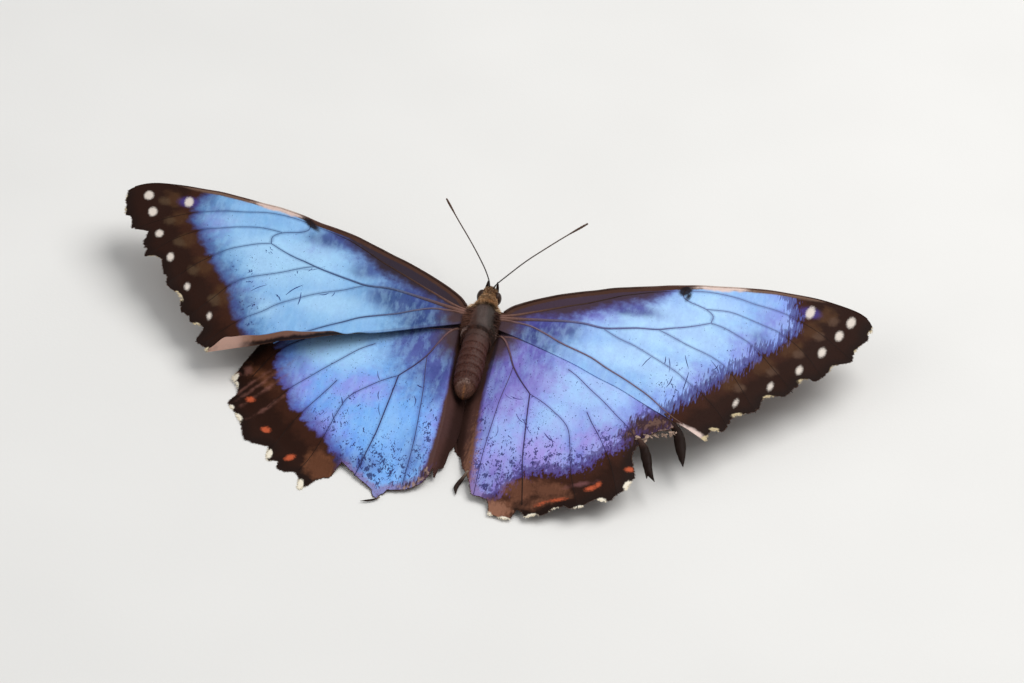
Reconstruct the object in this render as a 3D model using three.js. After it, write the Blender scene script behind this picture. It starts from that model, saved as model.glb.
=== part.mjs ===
// A blue morpho butterfly at life size, resting with its wings spread flat, as a museum model.
// Millimetres. +Z up, the head points to -Y, the butterfly's own left wing to +X.
// Every part stands on or above the plane z = 0, the ground it rests on.
import * as THREE from "three";

// ---------------------------------------------------------------- driving dimensions
const WING_THICKNESS = 0.5;
const WING_BASE_HEIGHT = 9.0; // of the forewing's hinge above the ground
const HALF_BODY = 3.6; // from the wings' middle line to each hinge
const MIDDLE_X = -0.3; // of that middle line
const NOSE_UP = Math.tan(THREE.MathUtils.degToRad(6)); // the wings rise to the front
const FOREWING_ARCH = 1.0; // rise of the forewing's middle above a flat sheet
const FOREWING_REACH = 66; // hinge to apex
const HINDWING_BELOW = 1.0; // hindwing's mid-sheet under the forewing's
const HINDWING_SAG = 3.2; // its fall 40 mm behind its hinge
const COSTA_RISE = { left: 17.2, right: 17.8 }; // bow of the forewing's front edge
const HIND_COSTA_RISE = 8.5;
const LEAST_HEIGHT = WING_THICKNESS / 2; // a sheet's middle where its underside lies on the ground
const BODY_X = -0.62; // the body's axis at y = 0
const BODY_SLANT = 0.006; // and how it drifts to the side along its length
const FRAME_SHIFT = [0.3, -10.92, 0]; // brings the middle of the model's box over the origin

// ---------------------------------------------------------------- colours and finishes
const finish = (color, roughness, metalness = 0) =>
  new THREE.MeshStandardMaterial({ color, roughness, metalness });
const WING_BLUE = finish("#5f8fe0", 0.45, 0.1);
const WING_VIOLET = finish("#6a74dc", 0.45, 0.1);
const FUR_BROWN = finish("#3b2a21", 0.9);
const HEAD_FUR = finish("#6e4a28", 0.9);
const EYE_BROWN = finish("#1c120d", 0.25);
const CUTICLE = finish("#241a14", 0.6);
const VEIN_BROWN = finish("#2a1a14", 0.7);

// ---------------------------------------------------------------- small helpers
const clamp = (x, low = 0, high = 1) => Math.min(high, Math.max(low, x));
const smooth = (a, b, x) => {
  const t = clamp((x - a) / (b - a));
  return t * t * (3 - 2 * t);
};
const mix = (a, b, t) => a.map((value, i) => value + (b[i] - value) * t);

// A closed mesh from a list of corner points and a list of triangles.
function mesh(name, points, triangles, material) {
  const geometry = new THREE.BufferGeometry();
  geometry.setAttribute("position", new THREE.Float32BufferAttribute(points.flat(), 3));
  geometry.setIndex(triangles.flat());
  const made = new THREE.Mesh(geometry.toNonIndexed(), material);
  made.geometry.computeVertexNormals();
  made.name = name;
  return made;
}

// ---------------------------------------------------------------- the wings
// A wing is laid out in plan by u, outward from its hinge, and v, forward of the forewing's hinge,
// and its height is a smooth function of the two.
const forewingHeight = {
  right: (u, v) => {
    const arch = FOREWING_ARCH * Math.sin((Math.PI * clamp(u, 0, FOREWING_REACH)) / FOREWING_REACH);
    return WING_BASE_HEIGHT + NOSE_UP * v + arch;
  },
  left: (u, v) => forewingHeight.right(u, v) - 3.0 * smooth(-4, 22, -v) * clamp(u / 42) ** 1.3,
};

// Beside the abdomen the hindwing turns down into a trough that cradles it.
const troughEdge = {
  right: (v) => 0.45 + 0.85 * smooth(20, 38, -v),
  left: (v) => -0.2 - 1.4 * smooth(10, 28, -v),
};
const TROUGH_SLOPE = 1.15;

function hindwingHeight(side) {
  return (u, v) => {
    const edge = Math.max(u, troughEdge[side](v));
    const back = clamp(-v - 4, 0, 60) / 40;
    const firm = side === "right" ? 1 - 0.75 * smooth(8, 28, edge) : 1;
    const droop = side === "left" ? 4.2 * clamp(edge / 30, 0, 1.3) ** 1.5 : 0;
    const sheet = forewingHeight.right(edge, v) - HINDWING_BELOW;
    const trough = TROUGH_SLOPE * (edge - u);
    return Math.max(LEAST_HEIGHT, sheet - HINDWING_SAG * back ** 2 * firm - droop - trough);
  };
}

// The outer margins, from the apex to the rear, as the tips where veins end. The third figure is
// how deep the edge is hollowed between that tip and the next: the scallops, and the wear.
const MARGIN = {
  forewing_left: [
    [65.4, 13.0, 0.4], [63.6, 7.4, 0.4], [62.3, 4.6, 1.7], [59.2, 0.4, 0.2], [58.0, -1.7, 1.2],
    [53.9, -5.4, 0.2], [52.8, -7.2, 0.8], [48.2, -12.8, 0.2], [46.6, -14.0, 1.7],
    [44.3, -18.4, 0.4], [41.4, -20.9, 0],
  ],
  forewing_right: [
    [65.4, 12.9, 0.3], [65.0, 9.4, 0.6], [62.6, 3.0, 0.9], [57.8, -2.4, 1.4], [52.4, -8.3, 1.6],
    [47.0, -14.2, 1.5], [42.4, -19.8, 1.2], [39.2, -23.0, 0],
  ],
  hindwing_left: [
    [33.4, -11.5, 0], [37.0, -21.3, 1.4], [36.0, -27.6, 0.5], [31.1, -36.3, 2.4],
    [26.0, -40.9, 1.4], [24.1, -42.2, 2.2], [19.3, -46.8, 0.3], [17.8, -44.2, 0.2],
    [15.0, -42.1, 0], [13.8, -38.6, -0.3], [7.4, -43.4, 0], [6.4, -45.4, 0.3], [4.9, -42.9, -0.4],
    [-0.6, -40.4, -0.2], [-1.7, -36.6, 0], [-2.3, -38.0, 0.8], [-3.2, -34.6, 0.8],
    [-3.9, -29.4, 0],
  ],
  hindwing_right: [
    [32.5, -11.5, 0], [34.0, -18.0, 0], [33.7, -21.8, 0.4], [29.1, -25.0, 0.3], [27.6, -29.6, 0],
    [28.8, -33.8, -0.4], [25.6, -39.2, 0.8], [20.6, -41.3, 0.3], [15.8, -42.4, 0.2],
    [12.3, -44.2, 2.2], [9.2, -44.6, -0.3], [5.8, -44.1, 0.1], [5.0, -41.2, 0],
    [2.2, -40.8, 0], [0.6, -36.0, 0], [-0.4, -34.0, 0.4], [-2.6, -28.8, 0],
  ],
};

// A point of the outer margin, s running 0 to 1 from its first tip to its last.
function marginPoint(tips, s) {
  const along = s * (tips.length - 1);
  const i = Math.min(tips.length - 2, Math.floor(along));
  const f = along - i;
  const [u0, v0, hollow] = tips[i];
  const [u1, v1] = tips[i + 1];
  const length = Math.hypot(u1 - u0, v1 - v0);
  const inward = [(v1 - v0) / length, -(u1 - u0) / length];
  const depth = (hollow * (1 - Math.cos(2 * Math.PI * f))) / 2;
  return [u0 + (u1 - u0) * f + inward[0] * depth, v0 + (v1 - v0) * f + inward[1] * depth];
}

// What sets one wing apart: its two root points, how its front and rear edges bow away from
// straight lines, and its rows and columns of facets.
const ROOT_OUT = { left: -0.4, right: 0.2 };
const WINGS = {
  forewing: {
    root: (side) => [[ROOT_OUT[side], 0.4], [ROOT_OUT[side], -4.3]],
    front: (t, side) => [0, COSTA_RISE[side] * t ** 0.65 * (1 - t) ** 0.46],
    rear: (t, side) => [0, (side === "left" ? 0.6 : 1.7) * Math.sin(Math.PI * t) * (1 - t / 2)],
    perTip: { left: 3, right: 4 },
  },
  hindwing: {
    root: (side) => [[ROOT_OUT[side], -5.2], [ROOT_OUT[side], -7.4]],
    front: (t) => [0, HIND_COSTA_RISE * t ** 0.45 * Math.sqrt(1 - t)],
    rear: (t, side) => [(side === "left" ? 0.9 : 1.9) * Math.sin(Math.PI * t), 0],
    perTip: { left: 2, right: 2 },
  },
};
const RIBS_OUT = [0, 0.08, 0.2, 0.34, 0.48, 0.62, 0.76, 0.88, 0.955, 0.988, 1];

// The rear edge of the left forewing is torn loose and stands up as a narrow flap.
const FLAP_HEIGHT = 3.0;
const flapRise = (s, t) => FLAP_HEIGHT * smooth(0.42, 0.95, t) * clamp((s - 0.985) / 0.015);

// The plan position of a wing's point: s from the front edge to the rear, t from root to margin.
function planPoint(kind, side, s, t) {
  const wing = WINGS[kind];
  const [rootFront, rootRear] = wing.root(side);
  const root = mix(rootFront, rootRear, s);
  const [u, v] = mix(root, marginPoint(MARGIN[`${kind}_${side}`], s), t);
  const [frontU, frontV] = wing.front(t, side);
  const [rearU, rearV] = wing.rear(t, side);
  return [u + (1 - s) * frontU + s * rearU, v + (1 - s) * frontV + s * rearV];
}

function wingPoint(kind, side, s, t) {
  const height = kind === "forewing" ? forewingHeight[side] : hindwingHeight(side);
  const [u, v] = planPoint(kind, side, s, t);
  const rise = kind === "forewing" && side === "left" ? flapRise(s, t) : 0;
  const outward = side === "left" ? 1 : -1;
  return new THREE.Vector3(MIDDLE_X + outward * (HALF_BODY + u), -v, height(u, v) + rise);
}

// The sheet's top and underside lie half a thickness to each side of its middle surface.
function wing(kind, side, material) {
  const gaps = (MARGIN[`${kind}_${side}`].length - 1) * WINGS[kind].perTip[side];
  const stations = Array.from({ length: gaps + 1 }, (_, i) => i / gaps);
  if (kind === "forewing" && side === "left") stations.splice(gaps, 0, 0.985);
  const grid = stations.map((s) => RIBS_OUT.map((t) => wingPoint(kind, side, s, t)));
  const faces = [1, -1].map((sign) => grid.map((row, i) => row.map((point, j) => {
    const alongS = new THREE.Vector3().subVectors(
      grid[Math.min(i + 1, grid.length - 1)][j], grid[Math.max(i - 1, 0)][j]);
    const alongT = new THREE.Vector3().subVectors(
      row[Math.min(j + 1, row.length - 1)], row[Math.max(j - 1, 0)]);
    const normal = alongT.cross(alongS).normalize();
    if (normal.z < 0) normal.negate();
    const offset = point.clone().addScaledVector(normal, (sign * WING_THICKNESS) / 2);
    offset.z = Math.max(0, offset.z);
    return offset.toArray();
  })));
  const rows = grid.length;
  const columns = RIBS_OUT.length;
  const points = faces.flat(2);
  const at = (face, i, j) => face * rows * columns + i * columns + j;
  const triangles = [];
  const quad = (a, b, c, d) => {
    const turned = side === "right";
    triangles.push(turned ? [a, b, c] : [a, c, b], turned ? [a, c, d] : [a, d, c]);
  };
  for (let i = 0; i + 1 < rows; i += 1) {
    for (let j = 0; j + 1 < columns; j += 1) {
      quad(at(0, i, j), at(0, i + 1, j), at(0, i + 1, j + 1), at(0, i, j + 1));
      quad(at(1, i, j), at(1, i, j + 1), at(1, i + 1, j + 1), at(1, i + 1, j));
    }
    quad(at(0, i + 1, 0), at(0, i, 0), at(1, i, 0), at(1, i + 1, 0));
    quad(at(0, i, columns - 1), at(0, i + 1, columns - 1),
      at(1, i + 1, columns - 1), at(1, i, columns - 1));
  }
  for (let j = 0; j + 1 < columns; j += 1) {
    quad(at(0, 0, j), at(0, 0, j + 1), at(1, 0, j + 1), at(1, 0, j));
    quad(at(0, rows - 1, j + 1), at(0, rows - 1, j), at(1, rows - 1, j), at(1, rows - 1, j + 1));
  }
  return mesh(`${kind}_${side}`, points, triangles, material);
}

// ---------------------------------------------------------------- the body
const axisX = (y) => BODY_X + BODY_SLANT * y;

// A round-sided solid from cross-sections given as [y, z, half-width, half-height].
function bodyOf(name, sections, material, around = 18) {
  const points = [];
  for (const [y, z, wide, high] of sections)
    for (let k = 0; k < around; k += 1) {
      const angle = (2 * Math.PI * k) / around;
      points.push([axisX(y) + wide * Math.cos(angle), y, z + high * Math.sin(angle)]);
    }
  const triangles = [];
  for (let i = 0; i + 1 < sections.length; i += 1)
    for (let k = 0; k < around; k += 1) {
      const next = (k + 1) % around;
      const [a, b] = [i * around + k, i * around + next];
      triangles.push([a, a + around, b], [b, a + around, b + around]);
    }
  const last = (sections.length - 1) * around;
  for (let k = 1; k + 1 < around; k += 1)
    triangles.push([0, k, k + 1], [last, last + k + 1, last + k]);
  return mesh(name, points, triangles, material);
}

const HEAD = [
  [-6.1, 9.0, 0.4, 0.5], [-5.7, 8.9, 0.85, 1.15], [-5.0, 8.85, 1.1, 1.65],
  [-4.2, 8.8, 1.15, 1.9], [-3.3, 8.75, 1.15, 1.85], [-2.5, 8.7, 1.05, 1.5], [-2.0, 8.7, 0.75, 1.0],
];
const THORAX = [
  [-1.65, 8.6, 1.2, 1.2], [-1.2, 8.55, 1.9, 1.9], [0.0, 8.45, 2.6, 2.65], [1.6, 8.35, 3.05, 3.15],
  [3.4, 8.3, 3.2, 3.3], [5.4, 8.3, 3.2, 3.3], [7.4, 8.25, 3.0, 3.1], [9.2, 8.1, 2.6, 2.7],
  [10.2, 8.0, 2.0, 2.1],
];
const ABDOMEN = [
  [10.55, 7.95, 1.9, 1.9], [11.2, 7.85, 2.3, 2.25], [12.6, 7.55, 2.55, 2.5],
  [14.2, 7.15, 2.65, 2.6], [15.7, 6.65, 2.6, 2.5], [17.1, 6.1, 2.35, 2.25],
  [18.4, 5.6, 1.9, 1.8], [19.4, 5.15, 1.25, 1.2], [19.8, 5.0, 0.65, 0.65],
];

// An eye is a dome whose flat inner face lies just off the side of the head.
const EYE_CENTRE = [-4.25, 8.85];
const EYE_TALL = 1.3;
const EYE_LONG = 1.15;
const EYE_BULGE = 0.85;
const EYE_INNER_FACE = 1.45;
function eye(side) {
  const rings = 5;
  const around = 18;
  const outward = side === "left" ? 1 : -1;
  const points = [];
  for (let i = 0; i < rings; i += 1) {
    const rise = (i / rings) * (Math.PI / 2);
    for (let k = 0; k < around; k += 1) {
      const angle = (2 * Math.PI * k) / around;
      points.push([
        axisX(EYE_CENTRE[0]) + outward * (EYE_INNER_FACE + EYE_BULGE * Math.sin(rise)),
        EYE_CENTRE[0] + EYE_LONG * Math.cos(rise) * Math.cos(angle),
        EYE_CENTRE[1] + EYE_TALL * Math.cos(rise) * Math.sin(angle),
      ]);
    }
  }
  points.push([
    axisX(EYE_CENTRE[0]) + outward * (EYE_INNER_FACE + EYE_BULGE), EYE_CENTRE[0], EYE_CENTRE[1]]);
  const triangles = [];
  const turn = ([a, b, c]) => (side === "left" ? [a, b, c] : [a, c, b]);
  for (let k = 0; k < around; k += 1) {
    const next = (k + 1) % around;
    for (let i = 0; i + 1 < rings; i += 1) {
      const [a, b] = [i * around + k, i * around + next];
      triangles.push(turn([a, b, a + around]), turn([b, b + around, a + around]));
    }
    const rim = (rings - 1) * around;
    triangles.push(turn([rim + k, rim + next, rings * around]));
    if (k > 0 && k + 1 < around) triangles.push(turn([0, k + 1, k]));
  }
  return mesh(`eye_${side}`, points, triangles, EYE_BROWN);
}

// ---------------------------------------------------------------- feelers, legs, mouth parts
// A tapering rod along a smooth curve through the given points; radii run evenly along it.
// Where it would pass below the ground it's cut flat, which gives the feet their soles.
function rod(name, through, radii, material, pieces, around = 8) {
  const curve = new THREE.CatmullRomCurve3(through.map((p) => new THREE.Vector3(...p)), false,
    "centripetal");
  const frames = curve.computeFrenetFrames(pieces, false);
  const points = [];
  for (let i = 0; i <= pieces; i += 1) {
    const centre = curve.getPointAt(i / pieces);
    const place = (i / pieces) * (radii.length - 1);
    const step = Math.min(radii.length - 2, Math.floor(place));
    const radius = radii[step] + (radii[step + 1] - radii[step]) * (place - step);
    for (let k = 0; k < around; k += 1) {
      const angle = (2 * Math.PI * (k + 0.5)) / around;
      const point = centre.clone()
        .addScaledVector(frames.normals[i], radius * Math.cos(angle))
        .addScaledVector(frames.binormals[i], radius * Math.sin(angle));
      points.push([point.x, point.y, Math.max(0, point.z)]);
    }
  }
  const triangles = [];
  for (let i = 0; i < pieces; i += 1)
    for (let k = 0; k < around; k += 1) {
      const next = (k + 1) % around;
      const [a, b] = [i * around + k, i * around + next];
      triangles.push([a, b, a + around], [b, b + around, a + around]);
    }
  const last = pieces * around;
  for (let k = 1; k + 1 < around; k += 1)
    triangles.push([0, k + 1, k], [last, last + k, last + k + 1]);
  return mesh(name, points, triangles, material);
}

const mirrored = (side, points) =>
  points.map(([out, y, z]) => [axisX(y) + (side === "left" ? out : -out), y, z]);

const ANTENNA = {
  left: [
    [-0.25, -5.4, 11.1], [0.9, -8.3, 11.5], [3.0, -12.0, 12.0], [5.5, -15.9, 12.6],
    [8.2, -20.0, 13.1], [11.4, -24.8, 14.0],
  ],
  right: [
    [-1.35, -5.2, 11.1], [-3.3, -8.4, 11.7], [-5.8, -12.2, 12.5], [-8.8, -16.1, 13.3],
    [-11.8, -19.6, 14.2], [-15.2, -22.8, 15.5],
  ],
};
const LEGS = {
  foreleg: {
    path: [[1.3, -1.1, 5.6], [1.75, -2.4, 5.2], [1.6, -4.1, 5.5], [1.35, -5.5, 6.0]],
    radii: [0.3, 0.34, 0.3, 0.26],
    pieces: 8,
  },
  midleg: {
    path: [
      [1.2, 1.6, 4.55], [3.4, 0.3, 5.3], [5.9, -1.1, 5.7], [7.4, -2.6, 3.6], [8.9, -4.1, 1.0],
      [10.3, -5.6, 0.3], [12.0, -7.6, 0.24],
    ],
    radii: [0.4, 0.42, 0.36, 0.3, 0.27, 0.26, 0.26],
    pieces: 20,
  },
  hindleg: {
    path: [
      [1.2, 6.4, 4.5], [2.9, 8.2, 4.7], [4.9, 10.2, 4.9], [6.3, 12.2, 3.0], [7.6, 14.0, 0.95],
      [8.8, 15.6, 0.3], [10.4, 17.8, 0.24],
    ],
    radii: [0.4, 0.42, 0.36, 0.3, 0.27, 0.26, 0.26],
    pieces: 20,
  },
};
const PALP = {
  path: [[0.95, -6.0, 7.3], [1.0, -6.9, 8.0], [0.95, -7.5, 9.0], [0.85, -7.7, 10.0]],
  radii: [0.3, 0.38, 0.34, 0.25],
};

// The tongue is carried coiled like a watch spring between the palps.
const COIL_CENTRE = [-7.0, 6.5];
const COIL_TURNS = 1.6;
const COIL_RADIUS = [0.45, 1.6];
const TONGUE_RADIUS = 0.26;
function tongueCoil() {
  const path = [];
  const steps = 20;
  for (let i = 0; i <= steps; i += 1) {
    const turn = (i / steps) * COIL_TURNS * 2 * Math.PI;
    const radius = COIL_RADIUS[0] + (COIL_RADIUS[1] - COIL_RADIUS[0]) * (i / steps);
    const [y, z] = COIL_CENTRE;
    path.push([axisX(y), y + radius * Math.cos(turn), z + radius * Math.sin(turn)]);
  }
  return rod("tongue", path, [0.24, TONGUE_RADIUS], CUTICLE, 30);
}

// Two dark stumps of vein stick out of the worn margin of the right hindwing.
const STUMPS = {
  vein_stump_inner: {
    path: [[29.6, -27.6, 6.0], [30.1, -29.3, 5.8], [30.9, -31.5, 5.5], [32.0, -33.1, 5.2]],
    radii: [0.6, 0.9, 0.7, 0.25],
  },
  vein_stump_outer: {
    path: [[35.0, -22.7, 6.4], [35.3, -24.2, 6.2], [35.8, -26.3, 5.8], [36.3, -28.3, 5.4]],
    radii: [0.75, 0.95, 0.75, 0.25],
  },
};

// ---------------------------------------------------------------- the butterfly
const butterfly = new THREE.Group();
butterfly.name = "blue_morpho";
butterfly.add(bodyOf("head", HEAD, HEAD_FUR));
butterfly.add(bodyOf("thorax", THORAX, FUR_BROWN));
butterfly.add(bodyOf("abdomen", ABDOMEN, FUR_BROWN));
butterfly.add(tongueCoil());
for (const side of ["left", "right"]) {
  butterfly.add(eye(side));
  butterfly.add(rod(`antenna_${side}`, ANTENNA[side], [0.3, 0.26, 0.26, 0.26, 0.3, 0.38, 0.3],
    CUTICLE, 14, 6));
  butterfly.add(rod(`palp_${side}`, mirrored(side, PALP.path), PALP.radii, HEAD_FUR, 8));
  for (const [kind, leg] of Object.entries(LEGS))
    butterfly.add(
      rod(`${kind}_${side}`, mirrored(side, leg.path), leg.radii, CUTICLE, leg.pieces));
  butterfly.add(wing("forewing", side, WING_BLUE));
  butterfly.add(wing("hindwing", side, WING_VIOLET));
}
for (const [name, stump] of Object.entries(STUMPS)) {
  const path = stump.path.map(([u, v, z]) => [MIDDLE_X - HALF_BODY - u, -v, z]);
  butterfly.add(rod(name, path, stump.radii, VEIN_BROWN, 8, 6));
}
butterfly.position.set(...FRAME_SHIFT);

export default butterfly;
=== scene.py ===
"""A worn blue morpho, life size, with its wings spread flat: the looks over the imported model."""

import bpy
import numpy as np
from mathutils import Matrix, Vector


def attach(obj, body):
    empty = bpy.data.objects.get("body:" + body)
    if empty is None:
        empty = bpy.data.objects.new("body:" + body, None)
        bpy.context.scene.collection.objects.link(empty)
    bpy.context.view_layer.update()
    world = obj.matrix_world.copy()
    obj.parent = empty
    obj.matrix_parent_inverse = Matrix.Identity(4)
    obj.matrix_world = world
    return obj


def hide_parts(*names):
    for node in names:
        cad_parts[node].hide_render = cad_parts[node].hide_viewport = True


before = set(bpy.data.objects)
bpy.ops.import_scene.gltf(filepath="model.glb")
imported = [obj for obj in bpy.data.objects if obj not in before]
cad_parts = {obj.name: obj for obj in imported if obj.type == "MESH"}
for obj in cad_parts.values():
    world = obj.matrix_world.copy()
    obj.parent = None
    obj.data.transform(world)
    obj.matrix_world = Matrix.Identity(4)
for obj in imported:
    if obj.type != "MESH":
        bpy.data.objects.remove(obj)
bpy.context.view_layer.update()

MM = 0.001

# Lengths below are in millimetres. FRAME_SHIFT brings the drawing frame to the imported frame.
FRAME_SHIFT = np.array([0.3, -10.92, 0.0])
WING_BASE_HEIGHT = 9.0
HALF_BODY = 3.6
MIDDLE_X = -0.3
NOSE_UP = np.tan(np.radians(6.0))
FOREWING_ARCH = 1.0
FOREWING_REACH = 66.0
HINDWING_BELOW = 1.0
HINDWING_SAG = 3.2
COSTA_RISE = {"left": 17.2, "right": 17.8}
HIND_COSTA_RISE = 8.5
MEMBRANE = 0.09  # half its thickness at the root
LEAST_HEIGHT = 0.12
BODY_X = -0.62
BODY_SLANT = 0.006
SIDES = ("left", "right")
OUTWARD = {"left": 1.0, "right": -1.0}


# ------------------------------------------------------------------ small helpers
def clamp(x, low=0.0, high=1.0):
    return np.clip(x, low, high)


def smooth(a, b, x):
    t = clamp((np.asarray(x, float) - a) / (b - a))
    return t * t * (3 - 2 * t)


def ripple(u, v, size, seed):
    """A smooth uneven field between about -1 and 1, whose bumps are size mm across."""
    rng = np.random.default_rng(seed)
    total = 0
    for _ in range(6):
        turn, phase, scale = rng.uniform(0, 2 * np.pi), rng.uniform(0, 9), rng.uniform(0.7, 1.5)
        wave = scale * np.pi / size
        total = total + np.sin(wave * (u * np.cos(turn) + v * np.sin(turn)) + phase)
    return total / 3.2


def through(points, step):
    """Points about step apart on a smooth curve through the given ones."""
    points = np.asarray(points, float)
    knots = np.concatenate([[0], np.cumsum(np.linalg.norm(np.diff(points, axis=0), axis=1) ** 0.5)])
    tangents = np.gradient(points, knots, axis=0)
    fine = []
    for i in range(len(points) - 1):
        gap = knots[i + 1] - knots[i]
        f = np.linspace(0, 1, 24, endpoint=i == len(points) - 2)[:, None]
        fine.append((2 * f**3 - 3 * f**2 + 1) * points[i] + (f**3 - 2 * f**2 + f) * gap * tangents[i]
                    + (3 * f**2 - 2 * f**3) * points[i + 1] + (f**3 - f**2) * gap * tangents[i + 1])
    fine = np.vstack(fine)
    run = np.concatenate([[0], np.cumsum(np.linalg.norm(np.diff(fine, axis=0), axis=1))])
    stops = np.linspace(0, run[-1], max(3, int(run[-1] / step) + 1))
    return np.stack([np.interp(stops, run, fine[:, k]) for k in range(fine.shape[1])], 1)


def from_line(u, v, line):
    """Each point's distance to an open line of straight pieces."""
    best = np.full(u.shape, 1e9)
    for (au, av), (bu, bv) in zip(line[:-1], line[1:]):
        du, dv = bu - au, bv - av
        f = clamp(((u - au) * du + (v - av) * dv) / (du * du + dv * dv + 1e-9))
        best = np.minimum(best, np.hypot(u - au - f * du, v - av - f * dv))
    return best


class Shape:
    """Corner points, faces and painted marks gathered from many solids, to be made one mesh."""

    def __init__(self):
        self.points, self.faces, self.finish, self.marks, self.uvs = [], [], [], {}, []
        self.total = 0

    def add(self, points, faces, finish=0, uv=None, **marks):
        """uv is a place for each point, or a list with one for each corner of each face."""
        points = np.asarray(points, float)
        for i, face_array in enumerate(faces):
            face_array = np.asarray(face_array)
            self.faces += (face_array + self.total).tolist()
            self.finish += [finish] * len(face_array)
            if uv is not None:
                corners = uv[i] if isinstance(uv, list) else uv[face_array]
                self.uvs.append(np.asarray(corners, float).reshape(-1, 2))
        self.points.append(points)
        for name, values in marks.items():
            self.marks.setdefault(name, []).append(np.broadcast_to(values, len(points)))
        self.total += len(points)

    def piece(self, name, materials, slot, nodes=(), crease=60):
        made = bpy.data.meshes.new(name)
        made.from_pydata(((np.vstack(self.points) + FRAME_SHIFT) * MM).tolist(), [], self.faces)
        for mark, values in self.marks.items():
            layer = made.attributes.new(mark, "FLOAT", "POINT")
            layer.data.foreach_set("value", np.concatenate(values).astype(np.float32))
        if self.uvs:
            layer = made.uv_layers.new(name="OFBake")
            layer.data.foreach_set("uv", np.vstack(self.uvs).ravel().astype(np.float32))
        made.polygons.foreach_set("material_index", np.array(self.finish, np.int32))
        for material in materials:
            made.materials.append(material)
        made.shade_smooth()
        made.set_sharp_from_angle(angle=np.radians(crease))
        made.update()
        piece = bpy.data.objects.new(name, made)
        bpy.context.scene.collection.objects.link(piece)
        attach(piece, "root")
        if nodes:
            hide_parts(*nodes)
        return piece


def ring_faces(count, around):
    """Faces of a closed skin over count rings of corner points, the last two points being its ends."""
    ring, k = np.meshgrid(np.arange(count - 1), np.arange(around), indexing="ij")
    a, b = (ring * around + k).ravel(), (ring * around + (k + 1) % around).ravel()
    quads = np.stack([a, a + around, b + around, b], 1)
    k = np.arange(around)
    following = (k + 1) % around
    last = (count - 1) * around
    start, end = count * around, count * around + 1
    caps = np.vstack([np.stack([np.full(around, start), k, following], 1),
                      np.stack([np.full(around, end), last + following, last + k], 1)])
    return quads, caps


def tube(path, radii, around=8):
    """A closed round rod: its corner points, its faces, and how far along each point is, 0 to 1."""
    path = np.asarray(path, float)
    radii = np.interp(np.linspace(0, 1, len(path)), np.linspace(0, 1, len(radii)), radii)
    ways = np.gradient(path, axis=0)
    ways /= np.linalg.norm(ways, axis=1)[:, None]
    side = np.cross(ways[0], [0.0, 0.0, 1.0])
    if np.linalg.norm(side) < 0.1:
        side = np.cross(ways[0], [0.0, 1.0, 0.0])
    rings = []
    angles = np.linspace(0, 2 * np.pi, around, endpoint=False)
    for centre, way, radius in zip(path, ways, radii):
        side = side - way * side.dot(way)
        side /= np.linalg.norm(side)
        up = np.cross(side, way)
        rings.append(centre + radius * (np.outer(np.cos(angles), side) + np.outer(np.sin(angles), up)))
    start_tip = path[:1] - ways[0] * radii[0] * 0.6
    end_tip = path[-1:] + ways[-1] * radii[-1] * 0.6
    points = np.vstack(rings + [start_tip, end_tip])
    along = np.concatenate([np.repeat(np.linspace(0, 1, len(path)), around), [0, 1]])
    return points, list(ring_faces(len(path), around)), along


LOCK_POINTS = 10  # three rings of three, and the tip
LOCK_PATCH = 0.0014  # half-width of a lock's own patch on the bake map


def hairs(roots, ways, normals, lengths, widths, lift, rng, uv=None):
    """Many closed three-sided locks: each leaves its root along ways, bowed up along normals."""
    count = len(roots)
    side = np.cross(ways, normals)
    side /= np.linalg.norm(side, axis=1)[:, None] + 1e-9
    up = np.cross(side, ways)
    steps = np.array([0.0, 0.4, 0.75])
    widths_along = np.array([0.8, 1.0, 0.6])
    bow = lift[:, None] * np.array([0.0, 0.55, 0.85, 1.0])
    turns = rng.uniform(0, 2 * np.pi, count)
    points = np.zeros((count, LOCK_POINTS, 3))
    offsets = np.zeros((count, LOCK_POINTS, 2))
    for j, (step, wide) in enumerate(zip(steps, widths_along)):
        centre = roots + (ways * step + normals * bow[:, j:j + 1]) * lengths[:, None]
        for k in range(3):
            third = 2 * np.pi * k / 3
            angle = turns + third
            across = side * np.cos(angle)[:, None] + up * 0.5 * np.sin(angle)[:, None]
            points[:, j * 3 + k] = centre + across * (widths * wide / 2)[:, None]
            offsets[:, j * 3 + k] = [LOCK_PATCH * np.cos(third), LOCK_PATCH * np.sin(third)]
    points[:, 9] = roots + (ways + normals * bow[:, 3:4]) * lengths[:, None]
    faces = []
    for j in range(2):
        for k in range(3):
            n = (k + 1) % 3
            faces.append([j * 3 + k, j * 3 + n, j * 3 + 3 + n, j * 3 + 3 + k])
    tips = [[6, 7, 9], [7, 8, 9], [8, 6, 9], [0, 2, 1]]
    base = (np.arange(count) * LOCK_POINTS)[:, None, None]
    quads = (np.array(faces)[None] + base).reshape(-1, 4)
    triangles = (np.array(tips)[None] + base).reshape(-1, 3)
    patch = None if uv is None else (uv[:, None] + offsets).reshape(-1, 2)
    return points.reshape(-1, 3), [quads, triangles], patch


def per_lock(field):
    """One value for each lock, given to all its corner points."""
    return np.repeat(field, LOCK_POINTS)


# ------------------------------------------------------------------ materials: one small helper
def linear(colour):
    """A colour given as #rrggbb, as the linear red, green, blue and alpha that nodes take."""
    value = [int(colour[i:i + 2], 16) / 255 for i in (1, 3, 5)]
    return [c / 12.92 if c <= 0.04045 else ((c + 0.055) / 1.055) ** 2.4 for c in value] + [1.0]


def add(tree, kind, inputs=None, **settings):
    """Adds one node, with its settings, and its sockets set or linked."""
    made = tree.nodes.new(kind)
    for key, value in settings.items():
        setattr(made, key, value)
    for key, value in (inputs or {}).items():
        if isinstance(value, bpy.types.NodeSocket):
            tree.links.new(value, made.inputs[key])
        else:
            made.inputs[key].default_value = value
    return made


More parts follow.
